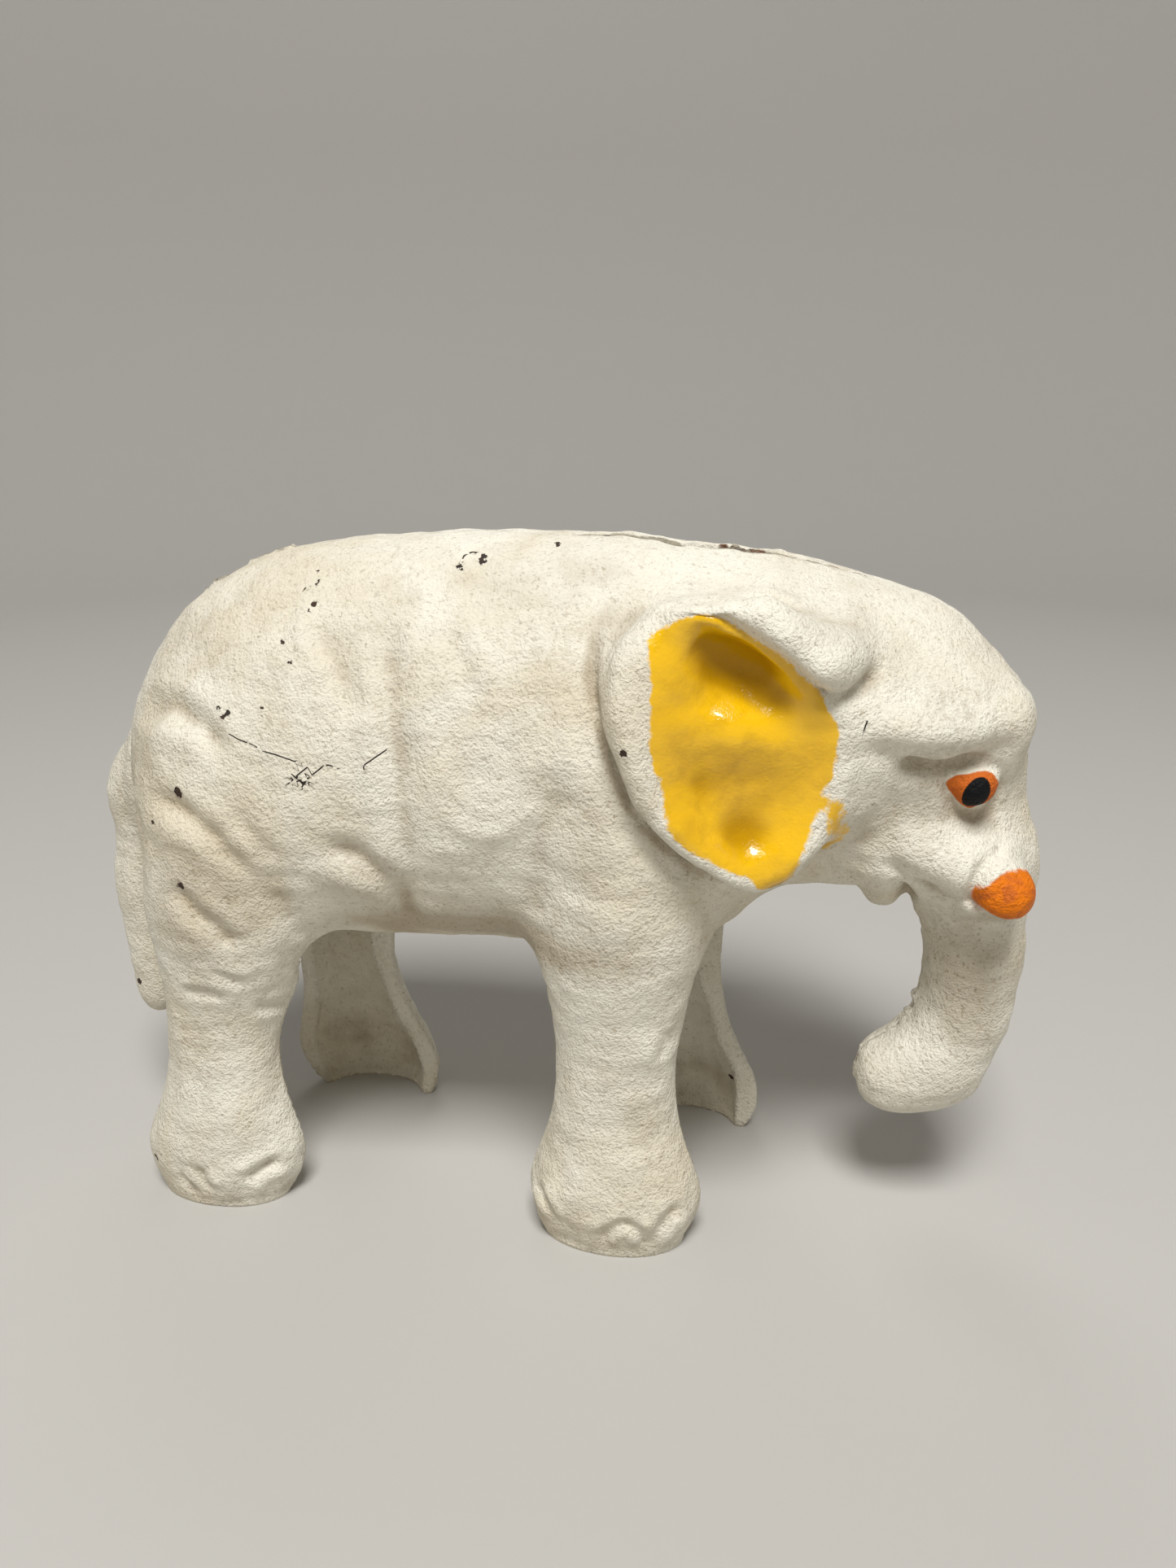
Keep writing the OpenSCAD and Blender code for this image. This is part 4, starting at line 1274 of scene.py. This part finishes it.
# Forms that were carved into the casting pattern
FEATURES: tuple[Form, ...] = (
    # Head
    Crease(((47.6, 87.0), (51.1, 84.3), (55.0, 81.9), (58.2, 80.8), (61.2, 81.1), (64.9, 82.4), (70.4, 85.0)),
            2.0, 0.9, 0.2),
    Crease(((53.0, 82.6), (56.0, 81.3), (58.6, 80.6), (61.4, 81.0), (65.0, 82.4)), 1.0, 1.0),
    Swell((57.0, 86.4), (9.5, 2.8), 1.5, -6.0),
    Swell((68.0, 9.0, 87.4), (4.0, 6.0, 2.8), 1.2),
    Swell((55.8, 80.4), (2.6, 1.4), -0.7),
    Swell((52.0, 76.0), (5.0, 4.0), -0.5),
    Swell((61.0, 68.4), (7.0, 3.6), 1.7, -24.0),
    Swell((66.6, 66.0), (3.0, 2.4), 0.8),
    Crease(((52.4, 67.6), (55.0, 65.0), (58.6, 62.8), (62.0, 61.2), (66.0, 60.6)), 1.3, 1.3),
    Swell((61.6, 65.4), (5.0, 2.2), 0.9, -24.0),
    Swell((59.8, 60.0), (5.0, 2.2), -1.7, -22.0),
    Swell((43.8, 0.0, 57.4), (4.8, 8.0, 2.6), -2.2),
    Swell((53.2, 4.0, 56.0), (3.0, 6.0, 2.4), 1.1),
    Crease(((69.6, 10.0, 71.0), (68.8, 11.0, 68.8), (67.6, 13.0, 66.6)), 0.8, 0.9),
    Crease(((57.3, -8.0, 54.6), (57.3, -3.0, 54.9), (57.2, 0.5, 55.1), (57.1, 4.0, 56.7), (56.6, 8.0, 58.3),
            (55.6, 12.4, 61.2), (54.4, 15.0, 64.5)), 0.95, 3.1),
    Crease(((68.4, 67.4), (66.0, 66.0), (64.9, 63.6), (65.2, 60.6), (67.2, 58.6), (70.2, 57.7), (73.6, 58.4)),
            0.9, 1.9),
    Swell((70.4, 12.5, 62.4), (3.8, 5.0, 3.1), 1.6),
    Crease(((59.6, 78.4), (61.2, 80.4), (64.6, 81.2), (67.6, 79.6), (68.0, 76.0), (66.2, 72.8), (63.0, 73.2)),
            0.8, 0.5, 0.0, True),
    # Ear
    Swell((31.0, 96.2), (8.5, 3.4), -2.8, -30.0, reach=ON_EAR),
    Swell((31.5, 86.5), (8.5, 4.6), 3.1, -8.0, reach=ON_EAR),
    Swell((32.8, 73.6), (3.0, 2.2), -0.55, 0.0, reach=ON_EAR),
    Swell((34.5, 70.5), (6.0, 3.4), -1.0, -40.0, reach=ON_EAR),
    Crease(((22.5, 102.6), (28.0, 103.2), (30.8, 101.6), (33.9, 99.4), (37.0, 97.0), (39.7, 94.6),
            (41.8, 92.2), (44.4, 88.4)), 0.9, 1.5, reach=ON_EAR),
    Crease(((31.0, 104.4), (34.6, 102.0), (37.0, 100.4), (39.8, 98.2), (42.6, 96.0), (46.0, 94.0)),
            2.8, -1.6),
    Crease(((40.6, 93.6), (43.5, 91.8), (47.0, 92.2), (50.8, 95.4)), 1.4, 1.6),
    Crease(((18.2, 101.8), (16.7, 97.0), (16.8, 91.0), (17.9, 86.0), (19.9, 81.0), (22.4, 76.5), (26.0, 73.0),
            (31.0, 69.2), (35.6, 66.0)), 1.7, -0.9, reach=ON_EAR),
    # Rump and thigh
    Crease(((-67.7, 6.0, 77.8), (-67.0, 6.0, 72.6), (-66.9, 6.0, 65.6), (-66.8, 6.0, 55.5),
            (-66.1, 6.0, 48.8), (-65.5, 6.0, 41.3), (-65.9, 5.5, 32.1)), 1.2, 1.7, 0.3),
    Crease(((-71.0, 3.6, 76.0), (-71.5, 4.0, 68.0), (-71.8, 4.2, 56.0), (-71.2, 4.0, 42.0),
            (-71.5, 3.6, 27.0)), 2.2, -0.5),
    Crease(((-71.4, 0.0, 86.0), (-73.6, 0.0, 72.0), (-74.8, 0.0, 62.0), (-74.9, 0.0, 50.0),
            (-74.4, 0.0, 38.0), (-74.0, 0.0, 28.0), (-73.0, 0.0, 14.0)), 3.4, -1.9),
    Crease(((-59.3, 80.0), (-56.5, 83.5), (-51.6, 85.2), (-46.5, 84.1), (-43.4, 82.2), (-40.3, 78.8)),
            1.7, 1.0, 0.3),
    Swell((-54.0, 80.3), (4.4, 3.8), 0.8),
    Crease(((-56.2, 69.9), (-51.4, 71.6), (-47.6, 70.3), (-44.4, 68.2), (-42.0, 65.9), (-37.0, 60.5)),
            1.6, 0.95, 0.3),
    Swell((-52.0, 67.5), (4.6, 2.4), 0.6, -22.0),
    Crease(((-52.6, 59.3), (-49.7, 56.6), (-45.4, 53.1), (-41.6, 48.4)), 1.6, 1.0, 0.3),
    Crease(((-40.5, 71.6), (-34.2, 64.0)), 1.6, 0.45, 0.4),
    Crease(((-35.2, 59.9), (-34.3, 55.1), (-33.6, 48.0)), 1.7, 0.5, 0.4),
    Crease(((-47.2, 45.2), (-44.4, 43.8), (-41.7, 42.3)), 0.9, 0.4, 0.5),
    Crease(((-53.4, 40.2), (-48.9, 40.7), (-45.0, 39.9)), 0.9, 0.45, 0.5, leg=Leg.HIND),
    # Flank
    Crease(((-32.6, 98.9), (-28.8, 95.2), (-25.2, 91.0)), 2.0, -0.7),
    Crease(((-29.9, 98.8), (-27.0, 95.9), (-24.1, 92.8), (-20.0, 85.4)), 2.4, 1.1),
    Crease(((-20.8, 101.7), (-18.4, 97.4), (-16.2, 92.1), (-15.5, 87.8), (-14.6, 82.0), (-14.4, 74.0),
            (-14.4, 66.5), (-15.0, 59.0), (-15.9, 50.0)), 2.0, 0.95, 0.3),
    Crease(((-9.0, 98.6), (-6.6, 94.4), (-5.2, 89.6)), 1.6, 0.5, 0.4),
    Swell((-1.0, 80.0), (8.0, 7.5), -0.5),
    Crease(((-8.8, 84.9), (-8.6, 77.5), (-7.2, 72.2), (-3.5, 70.1), (2.0, 72.2), (7.4, 79.2)), 1.6, -0.45),
    Crease(((-7.6, 79.5), (-6.0, 83.5), (-2.0, 85.2), (2.0, 83.5), (3.6, 79.5), (2.0, 75.5), (-2.0, 73.8),
            (-6.0, 75.5)), 0.7, -0.16, 0.0, True),
    Crease(((-28.5, 66.4), (-24.4, 66.4), (-21.6, 65.6), (-19.5, 63.8), (-18.0, 60.7), (-17.0, 56.7),
            (-16.6, 50.0)), 1.8, 1.2, 0.25),
    Swell((-21.0, 69.2), (4.5, 3.4), -0.7),
    Swell((-24.0, 61.6), (5.5, 2.8), 0.9, -18.0),
    Swell((-12.0, 61.0), (3.6, 6.0), -0.4),
    Crease(((8.4, 81.6), (5.2, 69.6), (3.0, 55.4)), 3.2, 1.1),
    Swell((14.5, 59.4), (5.0, 3.4), 0.6, -30.0),
    Swell((9.8, 63.5), (3.0, 2.4), -0.5, -30.0),
    # Legs and feet
    Crease(((-42.4, 37.4), (-39.8, 36.6), (-38.0, 36.0)), 1.0, 0.45, 0.5, leg=Leg.HIND),
    Crease(((-46.0, 5.6), (-44.6, 6.4), (-42.4, 8.0), (-39.8, 8.8)), 1.1, 0.9, 0.5, leg=Leg.HIND),
    Crease(((-53.8, 8.2), (-53.1, 5.2), (-51.2, 3.2)), 1.1, 0.8, 0.4, leg=Leg.HIND),
    Crease(((-58.2, 6.2), (-56.6, 4.2), (-54.4, 1.6)), 1.0, 0.6, 0.4, leg=Leg.HIND),
    Swell((-49.2, 4.6), (2.6, 3.0), 0.8, leg=Leg.HIND),
    Swell((-46.5, 17.4), (5.0, 3.0), 0.4, leg=Leg.HIND),
    Crease(((13.6, 1.8), (14.6, 5.3), (17.5, 7.2), (20.2, 5.6), (20.8, 2.2)), 0.9, 0.7, 0.6, leg=Leg.FORE),
    Crease(((21.0, 1.6), (22.5, 4.8), (24.4, 7.6), (26.4, 9.4)), 1.2, 0.8, 0.4, leg=Leg.FORE),
    Crease(((2.8, 10.2), (4.6, 7.8), (6.2, 5.0)), 0.9, 0.7, 0.5, leg=Leg.FORE),
    Swell((20.2, 36.4), (3.2, 3.4), 0.7, leg=Leg.FORE),
    Crease(((21.8, 34.4), (22.6, 37.0), (23.6, 40.2)), 1.0, 0.5, 0.4, leg=Leg.FORE),
    Swell((18.5, 22.3), (5.0, 3.6), -0.6, leg=Leg.FORE),
    Swell((9.5, 17.8), (4.0, 3.0), -0.4, leg=Leg.FORE),
)


@dataclass
class JoiningScrew:
    """Slotted screw along the elephant's width, in millimetres.

    Attributes:
        x: place along the length.
        z: height.
        seat: distance of the head's seat from the middle plane.
        end: distance of the shank's end from the middle plane.
        shank: radius of the shank.
        root: radius at the bottom of the thread.
        pitch: pitch of the thread.
        plain: length of shank under the head without thread.
        head: radius of the head.
        head_h: height of the head.
        driver: width of the driver slot.
        facets: number of faces round the screw.
        sharp: angle from which an edge is shown sharp, in degrees.
    """

    x: float = -2.0
    z: float = 79.5
    seat: float = 21.0
    end: float = -13.9
    shank: float = 2.5
    root: float = 2.1
    pitch: float = 0.8
    plain: float = 12.0
    head: float = 4.75
    head_h: float = 3.0
    driver: float = 1.3
    facets: int = 48
    sharp: float = 32.0

    def build(self, finish: bpy.types.Material) -> bpy.types.Object:
        """Make the screw, dress it and hand it to its body.

        Args:
            finish: material of the screw.

        Returns:
            The finished piece.
        """
        turned = linked("screw_blank", self.blank())
        cutter = linked("driver_cut", self.cutter())
        cut = turned.modifiers.new("driver_slot", "BOOLEAN")
        cut.object = cutter
        cut.operation = "DIFFERENCE"
        cut.solver = "EXACT"
        mesh = applied(turned)
        bpy.data.objects.remove(cutter)
        piece = finished("joining_screw_turned", mesh, finish)
        mesh.set_sharp_from_angle(angle=math.radians(self.sharp))
        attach(piece, "screw")
        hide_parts("joining_screw")
        return piece

    def profile(self) -> list[tuple[float, float]]:
        """Return the outline from the tip to the head as (radius, distance from the middle plane)."""
        teeth = int((self.seat - self.plain - self.end - 1.2) / self.pitch)
        start = self.end + 1.0
        line = [(0.0, self.end), (self.root - 0.5, self.end), (self.root, self.end + 0.5), (self.root, start)]
        for i in range(teeth):
            y = start + i * self.pitch
            line += [(self.shank, y + 0.35 * self.pitch), (self.shank, y + 0.5 * self.pitch)]
            line += [(self.root, y + 0.85 * self.pitch), (self.root, y + self.pitch)]
        top = self.seat + self.head_h
        line += [(self.shank, start + teeth * self.pitch + 0.6), (self.shank, self.seat)]
        line += [(self.head, self.seat), (self.head, top - 0.9), (self.head - 0.35, top - 0.42)]
        return line + [(self.head - 1.3, top - 0.12), (0.0, top)]

    def blank(self) -> bpy.types.Mesh:
        """Return the screw without its driver slot, spun from its outline."""
        line = [(self.x * MM + r * MM, y * MM, self.z * MM) for r, y in self.profile()]
        centre = (self.x * MM, 0.0, self.z * MM)
        return spun("joining_screw_turned", line, centre, (0.0, 1.0, 0.0), self.facets)

    def cutter(self) -> bpy.types.Mesh:
        """Return the bar that cuts the driver slot."""
        bm = bmesh.new()
        size = Vector((3.0 * self.head, self.head_h, self.driver)) * MM
        middle = Vector((self.x, self.seat + self.head_h, self.z)) * MM
        matrix = Matrix.Translation(middle) @ Matrix.Diagonal((*size, 1.0))
        bmesh.ops.create_cube(bm, size=1.0, matrix=matrix)
        return to_mesh("driver_cut", bm)


# Lamps as name, place and width in metres, and power in watts
LAMPS = (("top_lamp", (0.10, -0.52, 1.0), 0.34, 13.2), ("back_lamp", (-0.25, 0.70, 0.95), 0.5, 2.0))


@dataclass
class Studio:
    """Floor, backdrop, lamps and camera, in metres.

    Attributes:
        eye: place of the camera.
        look: direction that it looks in.
        lens: focal length in millimetres on a long side of 36.
        floor: colour of the floor and the wall.
        reach: distance of the wall from the middle.
        bend: radius of the curve from floor to wall.
        top: height of the wall.
        facets: number of faces round the wall.
        air: colour and strength of the even light.
        aim: place that the lamps point at.
    """

    eye: Place = (0.03967, -0.17456, 0.12810)
    look: Place = (-0.1733, 0.9352, -0.3090)
    lens: float = 27.03
    floor: Colour = (0.48, 0.465, 0.435)
    reach: float = 1.05
    bend: float = 0.35
    top: float = 1.6
    facets: int = 64
    air: tuple[Colour, float] = ((1.0, 0.985, 0.96), 0.04)
    aim: Place = (0.0, 0.0, 0.05)

    def build(self) -> None:
        """Make the whole stage."""
        self.camera()
        self.backdrop()
        self.lamps()
        bpy.context.scene.view_settings.view_transform = "Standard"

    def camera(self) -> None:
        """Place the camera at the photo's viewing angle."""
        data = bpy.data.cameras.new("camera")
        data.lens = self.lens
        data.sensor_width = 36.0
        data.clip_start = 0.005
        made = bpy.data.objects.new("camera", data)
        made.location = self.eye
        made.rotation_euler = Vector(self.look).to_track_quat("-Z", "Y").to_euler()
        bpy.context.scene.collection.objects.link(made)
        bpy.context.scene.camera = made

    def backdrop(self) -> None:
        """Make the pale floor, which curves up into a wall all round."""
        start = self.reach - self.bend
        line = [(0.0, 0.0, 0.0), (0.4, 0.0, 0.0), (start, 0.0, 0.0)]
        for a in np.linspace(0.2, math.pi / 2, 8):
            line.append((start + self.bend * math.sin(a), 0.0, self.bend - self.bend * math.cos(a)))
        line.append((self.reach, 0.0, self.top))
        mesh = spun("floor", line, (0.0, 0.0, 0.0), (0.0, 0.0, 1.0), self.facets)
        mesh.shade_smooth()
        paper = bpy.data.materials.new("pale_paper")
        paper.use_nodes = True
        shader = paper.node_tree.nodes["Principled BSDF"]
        shader.inputs["Base Color"].default_value = (*self.floor, 1.0)
        shader.inputs["Roughness"].default_value = 0.9
        mesh.materials.append(paper)
        linked("floor", mesh)

    def lamps(self) -> None:
        """Hang the soft lamps and set the even light of the room."""
        world = bpy.data.worlds.new("room")
        world.use_nodes = True
        colour, strength = self.air
        inputs = world.node_tree.nodes["Background"].inputs
        inputs["Color"].default_value = (*colour, 1.0)
        inputs["Strength"].default_value = strength
        bpy.context.scene.world = world
        for name, place, size, power in LAMPS:
            data = bpy.data.lights.new(name, "AREA")
            data.shape = "SQUARE"
            data.size = size
            data.energy = power
            lamp = bpy.data.objects.new(name, data)
            lamp.location = place
            way = Vector(self.aim) - Vector(place)
            lamp.rotation_euler = way.to_track_quat("-Z", "Y").to_euler()
            bpy.context.scene.collection.objects.link(lamp)


def main() -> None:
    """Build the bank and its stage."""
    logging.basicConfig(level=logging.INFO, format="%(name)s: %(message)s")
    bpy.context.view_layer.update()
    effects = SharedEffects()
    paint = PaintedIron().material(effects)
    for half in (HalfShell("right_half", Side.RIGHT), HalfShell("left_half", Side.LEFT)):
        half.build(paint)
    JoiningScrew().build(WornSteel().material(effects))
    Studio().build()


if __name__ == "__main__":
    main()
